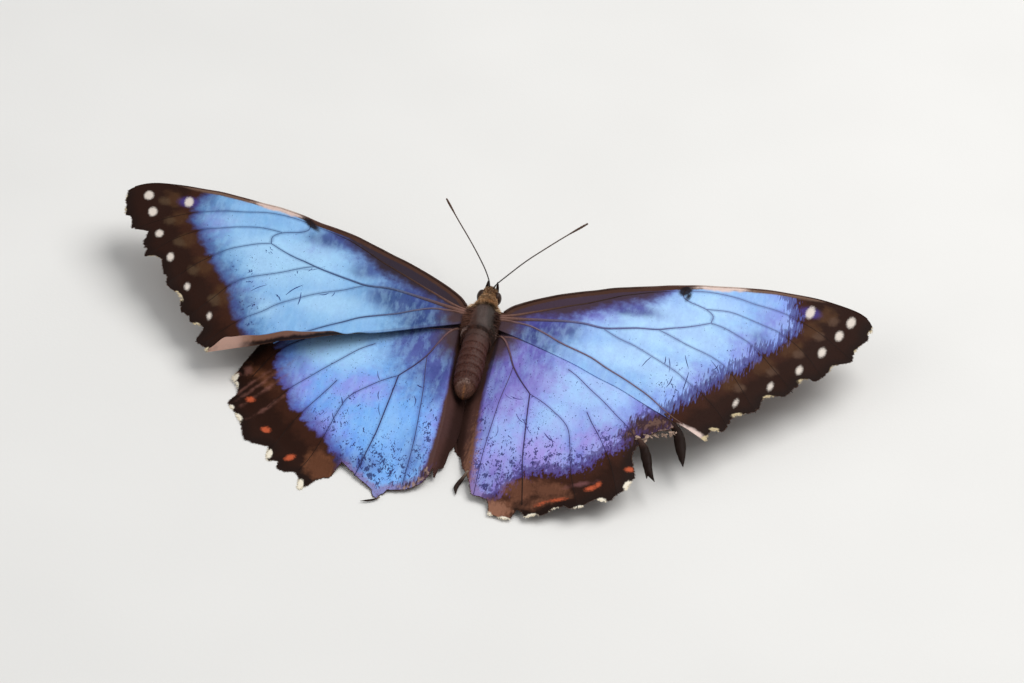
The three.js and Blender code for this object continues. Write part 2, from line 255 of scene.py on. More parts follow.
def new_material(name):
    material = bpy.data.materials.new(name)
    material.use_nodes = True
    material.node_tree.nodes.clear()
    return material, material.node_tree


def patterns(tree, sizes):
    """Noise patterns on Object coordinates: name to (bump size in mm across X, Y, Z, detail)."""
    place = add(tree, "ShaderNodeTexCoord").outputs["Object"]
    found = {}
    for name, (x, y, z, detail) in sizes.items():
        scale = (1 / x / MM, 1 / y / MM, 1 / z / MM)
        scaled = add(tree, "ShaderNodeMapping", {"Vector": place, "Scale": scale})
        found[name] = add(tree, "ShaderNodeTexNoise", {
            "Vector": scaled.outputs[0], "Scale": 1.0, "Detail": detail, "Roughness": 0.6}).outputs["Fac"]
    return found


def paint(tree, ground, layers, noise):
    """Lays colours over the ground. A layer is (mark, start, pattern, ragged, blur, strength, colour):
    it covers where the mark is above start, its edge broken by the pattern and blurred, all in mm."""
    colour = ground
    for mark, start, pattern, ragged, blur, strength, hue in layers:
        field = add(tree, "ShaderNodeAttribute", attribute_name=mark).outputs["Fac"]
        broken = add(tree, "ShaderNodeMath", {0: noise[pattern], 1: ragged, 2: field},
                     operation="MULTIPLY_ADD")
        cover = add(tree, "ShaderNodeMapRange", {
            "Value": broken.outputs[0],
            "From Min": start + ragged / 2 - blur, "From Max": start + ragged / 2 + blur,
            "To Min": 0.0, "To Max": strength}, interpolation_type="SMOOTHSTEP")
        colour = add(tree, "ShaderNodeMix", {0: cover.outputs[0], 6: colour, 7: linear(hue)},
                     data_type="RGBA").outputs[2]
    return colour


def surface(tree, colour, roughness, bump, depth, **constants):
    """Ends a material in one Principled shader, its bump depth mm deep."""
    relief = add(tree, "ShaderNodeBump", {"Height": bump, "Distance": depth * MM, "Strength": 1.0})
    shader = add(tree, "ShaderNodeBsdfPrincipled", {
        "Base Color": colour, "Roughness": roughness, "Normal": relief.outputs[0]})
    for key, value in constants.items():
        shader.inputs[key.replace("_", " ")].default_value = value
    add(tree, "ShaderNodeOutputMaterial", {"Surface": shader.outputs[0]})


def blend(tree, factor, one, other):
    return add(tree, "ShaderNodeMix", {0: factor, 6: one, 7: other}, data_type="RGBA").outputs[2]


# ------------------------------------------------------------------ the wings' shape
def forewing_height(side, u, v):
    z = WING_BASE_HEIGHT + NOSE_UP * v
    z = z + FOREWING_ARCH * np.sin(np.pi * clamp(u, 0, FOREWING_REACH) / FOREWING_REACH)
    if side == "left":
        z = z - 3.0 * smooth(-4, 22, -v) * clamp(u / 42) ** 1.3
    return z


def trough_edge(side, v):
    if side == "right":
        return 0.45 + 0.85 * smooth(20, 38, -v)
    return -0.2 - 1.4 * smooth(10, 28, -v)


def hindwing_height(side, u, v):
    edge = np.maximum(u, trough_edge(side, v))
    back = clamp(-v - 4, 0, 60) / 40
    firm = 1 - 0.75 * smooth(8, 28, edge) if side == "right" else 1.0
    droop = 4.2 * clamp(edge / 30, 0, 1.3) ** 1.5 if side == "left" else 0.0
    sheet = forewing_height("right", edge, v) - HINDWING_BELOW
    z = sheet - HINDWING_SAG * back**2 * firm - droop - 1.15 * (edge - u)
    return np.maximum(LEAST_HEIGHT, z)


# The outer margins, from the apex to the rear: the tips where veins end, and how deep the edge
# is hollowed between each and the next.
MARGIN = {
    "forewing_left": [
        [65.8, 13.3, -0.15], [64.5, 7.9, 0.4], [62.3, 4.6, 1.7], [59.2, 0.4, 0.2], [58.0, -1.7, 1.2],
        [53.9, -5.4, 0.2], [52.8, -7.2, 0.8], [48.2, -12.8, 0.2], [46.6, -14.0, 1.7],
        [44.3, -18.4, 0.4], [41.4, -20.9, 0]],
    "forewing_right": [
        [65.4, 12.9, 0.3], [65.0, 9.4, 0.6], [62.6, 3.0, 0.9], [57.8, -2.4, 1.4], [52.4, -8.3, 1.6],
        [47.0, -14.2, 1.5], [42.4, -19.8, 1.2], [39.2, -23.0, 0]],
    "hindwing_left": [
        [33.4, -11.5, 0], [37.0, -21.3, 1.4], [36.0, -27.6, 0.5], [31.1, -36.3, 2.4],
        [26.0, -40.9, 1.4], [24.1, -42.2, 2.2], [19.3, -46.8, 0.3], [17.8, -44.2, 0.2],
        [15.0, -42.1, 0], [13.8, -38.6, -0.3], [7.4, -43.4, 0], [6.4, -45.4, 0.3],
        [4.9, -42.9, -0.4], [-0.6, -40.4, -0.2], [-1.7, -36.6, 0], [-2.3, -38.0, 0.8],
        [-3.2, -34.6, 0.8], [-3.9, -29.4, 0]],
    "hindwing_right": [
        [32.5, -11.5, 0], [34.0, -18.0, 0], [33.7, -21.8, 0.4], [29.1, -25.0, 0.3],
        [27.6, -29.6, 0], [28.8, -33.8, -0.4], [25.6, -39.2, 0.8], [20.6, -41.3, 0.3],
        [15.8, -42.4, 0.2], [12.3, -44.2, 2.2], [9.2, -44.6, -0.3], [5.8, -44.1, 0.1],
        [5.0, -41.2, 0], [2.2, -40.8, 0], [0.6, -36.0, 0], [-0.4, -34.0, 0.4], [-2.6, -28.8, 0]],
}
ROOTS = {"forewing": (0.4, -4.3), "hindwing": (-3.7, -10.0)}  # v of each root's front and rear
ROOT_MIDDLE = {"forewing": -1.9, "hindwing": -6.2}  # v that the roots' shading spreads from
ROOT_OUT = {"left": -0.4, "right": 0.2}
ROOT_TUCK = {"forewing": 0.0, "hindwing": 1.6}  # the rear of a root runs in under the body
REAR_BOW = {"forewing_left": -0.9, "forewing_right": 1.7}
INNER_FOLD = {"left": 1.3, "right": 1.5}  # the hindwings' inner edges, folded under the abdomen
TUCKED_IN = -0.05  # how far t runs back into the body's fur
FLAP_FROM = 0.985
FLAP_HEIGHT = 2.7


def margin_points(key, s):
    tips = np.array(MARGIN[key])
    along = clamp(s) * (len(tips) - 1)
    i = np.minimum(len(tips) - 2, np.floor(along).astype(int))
    f = along - i
    a, b = tips[i, :2], tips[i + 1, :2]
    step = b - a
    length = np.hypot(step[..., 0], step[..., 1])
    inward = np.stack([step[..., 1], -step[..., 0]], -1) / length[..., None]
    depth = tips[i, 2] * (1 - np.cos(2 * np.pi * f)) / 2
    return a + step * f[..., None] + inward * depth[..., None]


def wing_plan(kind, side, s, t, cut=0.0):
    """Plan position (u, v) of s across the wing and t along it; cut is the worn edge, in mm."""
    key = f"{kind}_{side}"
    front_v, rear_v = ROOTS[kind]
    edge = margin_points(key, s)
    root_u, root_v = ROOT_OUT[side] - ROOT_TUCK[kind] * s, front_v + (rear_v - front_v) * s
    t = t * (1 - cut * smooth(0.8, 1, t) / np.hypot(edge[..., 0] - root_u, edge[..., 1] - root_v))
    u = root_u + (edge[..., 0] - root_u) * t
    v = root_v + (edge[..., 1] - root_v) * t
    c = clamp(t)
    if kind == "forewing":
        v = v + (1 - s) * COSTA_RISE[side] * c**0.65 * (1 - c) ** 0.46
        v = v + s * REAR_BOW[key] * np.sin(np.pi * c) * (1 - c / 2)
    else:
        v = v + (1 - s) * HIND_COSTA_RISE * c**0.45 * np.sqrt(1 - c)
        u = u - s**3 * INNER_FOLD[side] * np.sin(np.pi * c) ** 0.6
    return u, v


def flap_rise(kind, side, s, t):
    """The rear edge of the left forewing is torn loose and stands up as a narrow flap."""
    if (kind, side) != ("forewing", "left"):
        return 0.0
    rise = FLAP_HEIGHT * smooth(0.3, 0.75, t) * (1 + 0.25 * smooth(0.8, 0.9, t) - 0.7 * smooth(0.93, 1, t))
    ruffled = rise + 0.25 * ripple(t * 40, t * 0, 2.5, 3) * smooth(0.3, 0.5, t)
    return ruffled * clamp((s - FLAP_FROM) / (1 - FLAP_FROM))


# ------------------------------------------------------------------ the veins, in plan
CELL_FOOT = (36.7, 6.0)
VEINS = {
    "forewing": {
        "cubital": [(-1.2, -1.5), (0.6, -1.2), (3.3, -0.85), (7, -0.25), (10.5, 0.2), (14, 0.4), (18, 0.1),
                    (20.8, 0.7), (23.2, 1.1), (27.7, 2.0), (30.1, 3.0), (33.6, 4.4), CELL_FOOT],
        "cross": [(31.3, 14.4), (31.0, 11.6), (32.2, 10.6), (34.2, 9.9), (35.7, 9.2), (36.9, 7.8),
                  CELL_FOOT],
        "radial": [(-1.2, -0.9), (0.8, -0.5), (6, 1.8), (13, 5.2), (20, 9.0), (26, 11.6), (31, 13.2)],
        "radial_branch": [(31.0, 13.2), (36, 13.9), (40.4, 13.9), (44.4, 13.2), (47.8, 12.6),
                          (50.9, 11.6), (57, 8.6), (62.6, 3.9)],
        "medial_1": [(35.5, 9.4), (39.9, 9.8), (43.2, 9.1), (46.5, 7.9), (49.2, 6.9), (54, 3.2),
                     (57.9, -1.9)],
        "medial_2": [CELL_FOOT, (38.9, 5.3), (41.5, 4.1), (43.8, 2.9), (45.6, 1.4), (49.6, -3.0),
                     (52.9, -7.4)],
        "cubital_1": [(27.8, 1.95), (30.5, 0.85), (33.3, -0.5), (36.2, -1.8), (38.8, -3.1),
                      (41.3, -5.0), (44.4, -9.6), (47.1, -13.9)],
        "cubital_2": [(18, 0.05), (21.2, -1.8), (24, -3.0), (26.8, -4.5), (30, -6.5), (32.5, -8.1),
                      (34.3, -9.7), (37.1, -11.9), (40.5, -15.4), (43.0, -19.2)],
        "anal": [(-1.2, -1.9), (0.8, -1.7), (2.4, -1.8), (5.3, -2.2), (8.1, -3.5), (11.2, -5.3),
                 (14.2, -6.6), (17.3, -8.0), (19.9, -9.6), (22.8, -11.3), (25.5, -13.0),
                 (28.4, -14.9), (31.4, -17.4), (35.0, -20.2)],
    },
    "hindwing": {
        "stem": [(-1.0, -4.2), (0.4, -4.9), (1.5, -6.2), (2.9, -9.4), (4.05, -12.4), (6.0, -15.6),
                 (8.0, -18.2)],
        "inner": [(4.05, -12.4), (3.85, -14.9), (3.2, -20), (2.8, -25.2), (2.45, -31.2),
                  (2.4, -36.0), (2.5, -41.0)],
        "middle": [(8.0, -18.2), (8.3, -22.2), (8.8, -27.6), (9.2, -31.6), (10.2, -37.2),
                   (10.9, -41.2)],
        "outer": [(8.0, -18.2), (10.3, -19.5), (12.4, -21.2), (15.6, -24.4), (16.7, -28.0),
                  (17.5, -32.2), (18.6, -36.4), (20.3, -41.3)],
        "fourth": [(18.4, -20.6), (19.5, -22.7), (22.3, -27.4), (24.2, -31.4), (26.4, -37.6)],
        "fifth": [(13.6, -11.2), (15.9, -12.8), (19.8, -16.7), (23.1, -20.0), (26.4, -23.4),
                  (29.0, -27.6)],
        "costal": [(1.0, -5.2), (8, -6.2), (16, -7.6), (24, -10.0), (30, -14.2), (33.4, -20.5)],
    },
}
VEIN_WIDTHS = {  # at the root and the tip
    "cubital": (0.95, 0.2), "cross": (0.24, 0.2), "radial": (0.7, 0.16), "anal": (0.6, 0.24),
    "stem": (0.6, 0.3), "inner": (0.22, 0.16), "middle": (0.3, 0.22), "costal": (0.4, 0.2)}
FINE_VEIN = (0.2, 0.15)
EDGE_VEIN = (0.62, 0.22)  # along each wing's front edge
VEIN_SIDES = 6
VEIN_REACH = 0.35  # how far a vein's tint spreads to each side on the membrane
VEIN_RISE = 0.05  # how far the membrane rises toward a vein

# ------------------------------------------------------------------ the markings, in plan
# The edge of the blue: points (u, v) from front to rear. Beyond it lies the dark border.
BLUE_EDGE = {
    "forewing_left": [
        (44, 26), (51.0, 17.5), (52.2, 15.5), (52.6, 9.4), (50.2, 5.6), (47.8, 2.1), (46.4, -0.4),
        (44.3, -2.7), (42.4, -5.3), (41.4, -7.1), (40.3, -9.3), (38.6, -12.8), (36.4, -15.4),
        (33, -24), (8, -30)],
    "forewing_right": [
        (44, 26), (50.6, 17.5), (52.1, 14.0), (52.8, 9.8), (51.8, 7.2), (50.0, 3.8), (47.6, 1.0),
        (46.1, -1.3), (44.5, -2.9), (43.3, -5.0), (41.3, -6.9), (39.8, -8.9), (38.0, -11.3),
        (36.4, -13.2), (33.5, -16.4), (30, -24), (8, -30)],
    "hindwing_left": [
        (34, -4), (31.0, -12.5), (30.4, -16.0), (29.6, -19.4), (27.1, -23.8), (25.1, -26.8),
        (21.5, -30.8), (18.2, -34.0), (15.6, -36.4), (13.9, -42), (8, -52), (-8, -52)],
    "hindwing_right": [
        (34, -4), (31.0, -15.5), (30.0, -20.2), (28.6, -22.0), (27.4, -24.5), (25.7, -27.6),
        (23.9, -29.3), (22.3, -30.4), (20.2, -32.9), (18.3, -34.3), (15.3, -34.6), (12.6, -34.8),
        (9.8, -36.6), (7.9, -38.4), (6.3, -40.8), (4.6, -43.4), (-1, -52)],
}
# The dark strip behind the forewing's front edge: the height in v where the blue starts, by u.
DARK_FRONT = {
    "left": [(-5, -4.0), (2, -2.0), (5.5, -0.4), (9.2, 0.9), (12, 2.2), (15.7, 3.4), (17.4, 5.0),
             (19.5, 6.7), (22.4, 8.3), (24.6, 10.2), (27.0, 12.2), (30, 15.5), (70, 30)],
    "right": [(-5, -4.0), (2, -2.0), (5.5, -0.4), (11, 0.9), (13.9, 2.4), (17.1, 4.7), (20.6, 6.5),
              (23.5, 7.7), (26.3, 9.3), (28.5, 12.2), (31, 16.0), (70, 30)],
}
# The inner edge of the hindwing's blue, beside the body: u by v.
INNER_EDGE = {
    "left": [(-60, -0.6), (-36.5, -0.5), (-28, -0.95), (-19.6, -0.75), (-9.8, -0.4), (0, 0.2)],
    "right": [(-60, 1.6), (-38.3, 1.3), (-28.6, 0.6), (-19, 0.1), (-9.8, -0.2), (0, 0.4)],
}
# Oval marks: (u, v, length, width, turn in degrees).
SPOT_ROW = ((61.5, 13.7), (43.4, -12.5))  # the forewing's white spots run from the first to the last
SPOT_COUNT = 6
SPOT_CROWDING = 1.25  # above 1, the spots stand closer together toward the front
SPOT_BOW = 1.9  # how far the row bends out toward the margin
FRONT_SPOT = (54.0, 13.9)  # a seventh spot, alone by the front edge


def along_row(steps, set_back=0.0):
    """Places on the bowed row of spots: step 0 is the first spot, and set_back moves toward the blue."""
    first, last = np.array(SPOT_ROW)
    run = last - first
    outward = np.array([-run[1], run[0]]) / np.hypot(*run)
    places = []
    for step in steps:
        t = (step / (SPOT_COUNT - 1)) ** SPOT_CROWDING
        places.append((t, *(first + run * t + outward * (SPOT_BOW * np.sin(np.pi * t) - set_back))))
    return places


def spot_row(front_size, rear_size, alone_size):
    """White spots along the row, shrinking evenly to the rear, and the one that stands alone."""
    spots = []
    for t, u, v in along_row(range(SPOT_COUNT)):
        length, width = (1 - t) * np.array(front_size) + t * np.array(rear_size)
        spots.append((u, v, length, width, 80))
    return spots + [(*FRONT_SPOT, *alone_size, 80)]


def between_spots(set_back, length, width):
    """One soft oval behind each gap in the row of white spots."""
    gaps = np.arange(SPOT_COUNT - 1) + 0.6
    return [(u, v, length, width, 60) for _, u, v in along_row(gaps, set_back)]


WHITE_SPOTS = {
    "forewing_left": spot_row((2.5, 1.8), (1.6, 0.9), (2.9, 1.7)),
    "forewing_right": spot_row((3.1, 1.6), (2.2, 0.85), (3.6, 1.6)),
}
DULL_SPOTS = {
    "forewing_left": between_spots(2.6, 2.2, 1.8), "forewing_right": between_spots(2.6, 2.2, 1.7),
    "hindwing_left": [(34.5, -19.0, 2.0, 1.3, 60), (36.0, -19.9, 1.2, 0.7, 40),
                      (31.8, -22.6, 4.5, 0.35, -50), (30.8, -24.2, 3.4, 0.3, -50),
                      (33.2, -22.2, 3.0, 0.3, -50), (29.0, -27.4, 2.6, 0.3, -50)],
    "hindwing_right": [(20.0, -36.2, 3.0, 0.6, 20)],
}
# The dark wedge where the forewing's cell ends, pinkish rubbed patches, and lighter brown ones.
WEDGES = {
    "forewing_left": [(30.9, 13.2, 4.4, 1.4, 40), (32.3, 14.6, 3.2, 1.4, 10)],
    "forewing_right": [(31.2, 13.2, 3.0, 2.0, 60), (31.9, 12.0, 2.4, 0.9, 80), (32.5, 15.2, 4.6, 1.4, 10)],
}
PINK_PATCHES = {
    "forewing_right": [(23.4, -15.0, 5.6, 0.5, -26), (37.2, -21.7, 6.4, 1.2, -26)],
    "hindwing_right": [(0.5, -33.0, 12.0, 1.5, -86), (6.3, -42.8, 5.2, 3.2, 0)],
}
TAN_MIDDLE = 37.6  # u of the rubbed patch on the forewings' front edge
# The pink under the torn flap is its own colour, made lighter as a painted highlight.
FLAP_LINING = {"forewing_left": [(38.6, -19.6, 8.0, 3.6, -20)]}  # pink, under the torn flap
LIGHT_PATCHES = {
    "forewing_left": between_spots(4.4, 3.4, 2.6), "forewing_right": between_spots(4.4, 4.0, 2.6),
    "hindwing_left": [(17.0, -39.8, 6.8, 4.6, 60), (32.0, -20.4, 5.0, 1.6, 40)],
    "hindwing_right": [(10.2, -38.2, 5.6, 3.8, 20), (14.8, -37.8, 6.4, 3.0, -10),
                       (13.4, -40.6, 4.0, 1.8, 20), (6.8, -42.4, 5.4, 4.0, 0)],
}
ORANGE_SPOTS = {
    "hindwing_left": [(32.4, -25.9, 1.7, 1.1, 20), (28.1, -32.6, 1.7, 1.3, 20),
                      (22.5, -38.6, 2.0, 1.3, -50)],
    "hindwing_right": [(21.8, -36.8, 1.9, 0.9, 30), (22.9, -35.9, 1.2, 0.8, 60),
                       (27.6, -31.9, 1.6, 1.0, 20), (16.6, -39.8, 2.6, 0.6, 14),
                       (14.0, -40.7, 1.6, 0.5, 30)],
}
# Cream crescents on the margin itself, as (u, v, length, width) near each.
CREAM_MARKS = {
    "forewing_left": [(65.4, 13.4, 1.0, 0.4), (61.2, 2.4, 1.3, 0.5), (56.6, -3.2, 1.6, 0.7),
                      (50.0, -9.6, 2.2, 0.8), (45.4, -16.0, 1.0, 0.5), (42.3, -20.4, 1.5, 1.0),
                      (64.3, 9.2, 0.8, 0.4)],
    "forewing_right": [(65.3, 12.2, 1.5, 0.4), (64.0, 6.4, 1.4, 0.6), (60.2, 0.4, 1.5, 0.7),
                       (55.0, -5.0, 1.7, 0.8), (49.7, -11.0, 1.8, 0.8), (44.8, -16.8, 2.0, 0.8),
                       (40.8, -21.2, 1.6, 0.8), (38.2, -22.4, 1.8, 0.9)],
    "hindwing_left": [(37.1, -20.6, 2.0, 1.0), (36.5, -23.0, 1.5, 1.0), (35.4, -28.4, 1.3, 0.9),
                      (33.8, -31.0, 2.1, 1.0), (26.6, -38.6, 2.4, 1.0), (19.8, -44.9, 2.8, 1.1)],
    "hindwing_right": [(8.4, -44.6, 1.9, 0.8), (12.9, -43.8, 2.1, 1.0), (16.5, -42.0, 1.1, 0.7),
                       (20.6, -41.2, 1.7, 0.7), (24.0, -39.8, 1.6, 1.0), (28.0, -35.3, 2.1, 1.1),
                       (5.8, -43.9, 0.9, 0.5)],
}
# Soft pools of tint: (u, v, reach along u, reach along v, strength).
# The pale pools are a painted highlight: the blue is lightened where it catches the light most.
HIGHLIGHT_POOLS = {
    "forewing_left": [(33, 3, 12, 7, 1.0), (24, -6, 9, 4, 0.8), (36, -9, 6, 4, 0.7), (44, 11, 6, 3, 0.35)],
    "forewing_right": [(30, 3, 13, 8, 1.0), (24, -6, 9, 4, 1.0), (36, 10, 7, 5, 0.8), (33, -9, 6, 5, 0.9)],
    "hindwing_left": [(20, -14, 9, 5, 1.0), (12, -9, 7, 3, 0.5), (8, -30, 4, 5, 0.3)],
    "hindwing_right": [(18, -15, 9, 5, 1.0), (13, -23, 5, 6, 0.7), (22, -21, 5, 5, 0.6),
                       (6, -26, 4, 6, 0.4)],
}
# The lilac pools are a painted sheen: the blue turns lilac where the light meets the scales at another
# angle.
SHEEN_POOLS = {
    "forewing_left": [(48, 9, 4, 5, 0.5), (40, -6, 4, 4, 0.3), (28, 8, 6, 3, 0.3)],
    "forewing_right": [(44, 1, 4, 6, 0.7), (37, -9, 4, 5, 0.6), (48, 10, 4, 4, 0.7), (16, 3, 5, 3, 0.7)],
    "hindwing_left": [(14, -22, 6, 4, 0.8), (25, -22, 4, 6, 0.7), (18, -31, 4, 4, 0.7), (5, -10, 5, 5, 0.5),
                      (0, -27, 2, 9, 0.5)],
    "hindwing_right": [(4, -18, 5, 7, 0.9), (9, -14, 5, 4, 0.6), (12, -31, 6, 5, 0.9), (22, -27, 6, 4, 0.7),
                       (4, -36, 5, 6, 0.8)],
}
DEEP_POOLS = {
    "forewing_left": [(10, -1.5, 8, 4, 1.1), (5, -4, 5, 4, 1.1), (26, 10, 6, 2.5, 0.9), (48, 13, 4, 2, 0.4),
                      (39, -10, 3, 5, 0.5), (18, 4, 4, 3, 0.7)],
    "forewing_right": [(9, -1.5, 6, 3, 1.0), (4, -4, 3, 2, 0.8), (22, 6, 6, 2, 0.9), (46, 4, 3, 5, 0.5),
                       (39, -8, 3, 4, 0.4)],
    "hindwing_left": [(5, -8, 4, 4, 1.0), (1, -14, 2, 8, 0.9), (2, -35, 3, 6, 0.5), (26, -19, 3, 5, 0.5),
                      (11, -38, 5, 2.5, 0.6)],
    "hindwing_right": [(1, -22, 1.6, 12, 0.8), (3, -8, 4, 3, 0.7), (4, -37, 4, 4, 0.7),
                       (24, -25, 5, 3, 0.4), (11, -34, 6, 3, 0.55)],
}
WORN_POOLS = {  # where blue scales are lost in specks
    "forewing_left": [(38, -9, 4, 5, 0.5), (36, 0, 8, 6, 0.25)],
    "forewing_right": [(37, -9, 5, 4, 0.5), (44, 0, 4, 5, 0.35), (30, -12, 4, 3, 0.6)],
    "hindwing_left": [(8, -39, 9, 7, 1.0), (0, -31, 2, 8, 0.9), (18, -31, 5, 4, 0.6), (15, -26, 5, 4, 0.3)],
    "hindwing_right": [(2, -36, 4, 7, 1.1), (1, -24, 2, 6, 0.6), (14, -31, 9, 4, 0.8), (7, -34, 5, 6, 0.8),
                       (24, -26, 5, 3, 0.8), (8, -24, 5, 5, 0.35)],
}
OVAL_MARKS = {"white": WHITE_SPOTS, "dull": DULL_SPOTS, "orange": ORANGE_SPOTS, "wedge": WEDGES,
              "pink": PINK_PATCHES, "light": LIGHT_PATCHES, "lining": FLAP_LINING}
POOLS = {"pale": HIGHLIGHT_POOLS, "lilac": SHEEN_POOLS, "deep": DEEP_POOLS, "worn": WORN_POOLS}
# The underside's ringed eye spots: (u, v, radius).
OCELLI = {
    "forewing": [(44.0, 9.5, 2.9), (41.2, 1.2, 2.2), (36.5, -6.0, 2.6)],
    "hindwing": [(24.0, -14.5, 3.4), (21.6, -27.0, 2.5), (15.0, -31.5, 2.4), (8.2, -33.0, 2.0)],
}


def inside(u, v, outline):
    """Whether each point lies inside a closed outline."""
    within = np.zeros(u.shape, bool)
    for (au, av), (bu, bv) in zip(outline, np.roll(outline, -1, axis=0)):
        crosses = (av > v) != (bv > v)
        within ^= crosses & (u < (bu - au) * (v - av) / (bv - av + 1e-12) + au)
    return within


def ovals(u, v, marks):
    """How far inside the nearest of the oval marks each point lies, about in mm."""
    best = np.full(u.shape, -9.0)
    for cu, cv, length, width, turn in marks:
        c, s = np.cos(np.radians(turn)), np.sin(np.radians(turn))
        along, across = (u - cu) * c + (v - cv) * s, (v - cv) * c - (u - cu) * s
        reach = np.hypot(along / (length / 2), across / (width / 2))
        best = np.maximum(best, (1 - reach) * width / 2)
    return best


def pools(u, v, marks):
    """Soft pools of tint, 0 outside them and up to their strength within."""
    total = np.zeros(u.shape)
    for cu, cv, ru, rv, strength in marks:
        total = np.maximum(total, strength * np.exp(-((u - cu) / ru) ** 2 - ((v - cv) / rv) ** 2))
    return total


def wing_outline(kind, side):
    """The closed outline of a wing, and its front and rear edges, from root to margin."""
    t = np.linspace(0, 1, 60)
    front = np.stack(wing_plan(kind, side, np.zeros(60), t), 1)
    rear = np.stack(wing_plan(kind, side, np.ones(60), t), 1)
    edge = margin_points(f"{kind}_{side}", np.linspace(0, 1, 400))
    return np.vstack([front, edge, rear[::-1]]), front, rear


def snapped(key, marks):
    """Margin marks moved onto the margin and turned along it."""
    edge = margin_points(key, np.linspace(0, 1, 3000))
    span = 25  # steps along the margin to each side that give its direction
    found = []
    for cu, cv, length, width in marks:
        nearest = np.argmin(np.hypot(edge[:, 0] - cu, edge[:, 1] - cv))
        i = int(np.clip(nearest, span, len(edge) - span - 1))
        way = edge[i + span] - edge[i - span]
        way /= np.linalg.norm(way)
        u, v = edge[i] + np.array([way[1], -way[0]]) * width * 0.42
        found.append((u, v, length, width, np.degrees(np.arctan2(way[1], way[0]))))
    return found


PATHS = {kind: {name: through(points, 0.6) for name, points in veins.items()}
         for kind, veins in VEINS.items()}


def blue_outline(edge):
    """The closed outline of the blue, from its outer edge."""
    return np.vstack([[(-60, 40), (edge[0][0], 40)], edge, [(-60, edge[-1][1])]])


def wing_marks(kind, side, u, v):
    """The painted fields at points of a wing, above nothing inside each marking."""
    key = f"{kind}_{side}"
    marks = {}
    edge = through(BLUE_EDGE[key], 0.7)
    vein = np.full(u.shape, 1e9)
    for path in PATHS[kind].values():
        vein = np.minimum(vein, from_line(u, v, path[::2]))
    marks["vein"] = VEIN_REACH - vein
    border = np.where(inside(u, v, blue_outline(edge)), -1.0, 1.0) * from_line(u, v, edge)
    marks["border"] = border + 0.9 * np.exp(-((vein / 0.5) ** 2)) * smooth(-4, -0.5, border)
    if kind == "forewing":
        starts = np.array(DARK_FRONT[side])
        marks["front"] = (v - np.interp(u, starts[:, 0], starts[:, 1])) * 0.75
    else:
        starts = np.array(INNER_EDGE[side])
        marks["front"] = np.interp(v, starts[:, 0], starts[:, 1]) - u
    for mark, places in OVAL_MARKS.items():
        marks[mark] = ovals(u, v, places.get(key, []))
    for mark, places in POOLS.items():
        marks[mark] = pools(u, v, places[key])
    marks["worn"] = marks["worn"] * (0.75 + 0.9 * ripple(u, v, 1.2, len(key)))
    marks["glow"] = pools(u, v, [(*FRONT_SPOT, 2.0, 1.5, 1.0)] if kind == "forewing" else [])
    marks["cream"] = ovals(u, v, snapped(key, CREAM_MARKS[key]))
    _, front, rear = wing_outline(kind, side)
    edge = margin_points(key, np.linspace(0, 1, 300))
    broad = 0.75 + 0.25 * smooth(36, 30, u) if kind == "forewing" else 0.3
    marks["costa"] = broad - from_line(u, v, front)
    marks["tan"] = np.full(u.shape, -9.0)
    if kind == "forewing":
        off_middle = np.abs(u - TAN_MIDDLE)
        from_front = from_line(u, v, front)
        patch = np.minimum(1.6 - 0.35 * off_middle, 1.3 - 0.16 * off_middle - from_front)
        tan = np.minimum(smooth(34, 38, u) * 0.9 - 0.4, 0.7 - from_front)
        marks["tan"] = tan - smooth(52, 60, u)
        marks["pink"] = np.maximum(marks["pink"], patch)
    marks["rear"] = 0.5 - from_line(u, v, rear)
    marks["rim"] = 1.6 - from_line(u, v, edge)
    marks["margin"] = np.minimum(marks["rim"], marks["border"] + 1.0)
    marks["root"] = -np.hypot(u + 0.6, (v - ROOT_MIDDLE[kind]) * 0.75)
    marks["everywhere"] = np.zeros(u.shape)
    marks["torn"] = np.full(u.shape, -9.0)
    for line, half in TORN_BANDS[side] if kind == "hindwing" else []:
        ragged = half + 0.5 * ripple(u, v, 1.6, 5)
        marks["torn"] = np.maximum(marks["torn"], ragged - from_line(u, v, through(line, 0.5)))
    marks["tatter"] = np.minimum(marks["torn"], marks["rim"] - 0.7)
    ring = np.full(u.shape, -9.0)
    for cu, cv, radius in OCELLI[kind]:
        ring = np.maximum(ring, radius - np.hypot(u - cu, (v - cv) * 0.85))
    marks["ocellus"] = ring
    pupils = [(cu, cv, radius * 0.42, radius * 0.42, 0) for cu, cv, radius in OCELLI[kind]]
    marks["pupil"] = ovals(u, v, pupils)
    return marks


# ------------------------------------------------------------------ the wings
GRID = {"forewing": (235, 190), "hindwing": (290, 125)}
DRAPE_WIDTH = 2.6  # the right forewing's rear edge lies down on the hindwing over this width
EDGE_CLEARANCE = 0.17
HINDWING_LIFT = 0.72  # the right hindwing's front half lies this much nearer the forewing
FRAY = {"forewing": 0.22, "hindwing": 0.3}


def stations(kind, side):
    """Values of s evenly spaced along the margin, with more where the torn flap turns up."""
    fine = np.linspace(0, 1, 6000)
    edge = margin_points(f"{kind}_{side}", fine)
    run = np.concatenate([[0], np.cumsum(np.hypot(*np.diff(edge, axis=0).T))])
    s = np.interp(np.linspace(0, run[-1], GRID[kind][0]), run, fine)
    if (kind, side) == ("forewing", "left"):
        s = np.concatenate([s[s < FLAP_FROM - 0.002], np.linspace(FLAP_FROM - 0.001, 1, 9)])
    return s


def undraped(kind, side, u, v):
    """The height of a wing's middle surface, with small waves that the two wings of a side share."""
    base = forewing_height(side, u, v) if kind == "forewing" else hindwing_height(side, u, v)
    if (kind, side) == ("hindwing", "right"):
        base = base + HINDWING_LIFT * (1 - smooth(20, 40, -v)) * smooth(-1, 3, u)
    seed = 11 + 2 * SIDES.index(side)
    away = smooth(3, 22, np.hypot(u, v + 4))
    return base + (0.16 * ripple(u, v, 9.0, seed) + 0.07 * ripple(u, v, 3.2, seed + 9)) * away


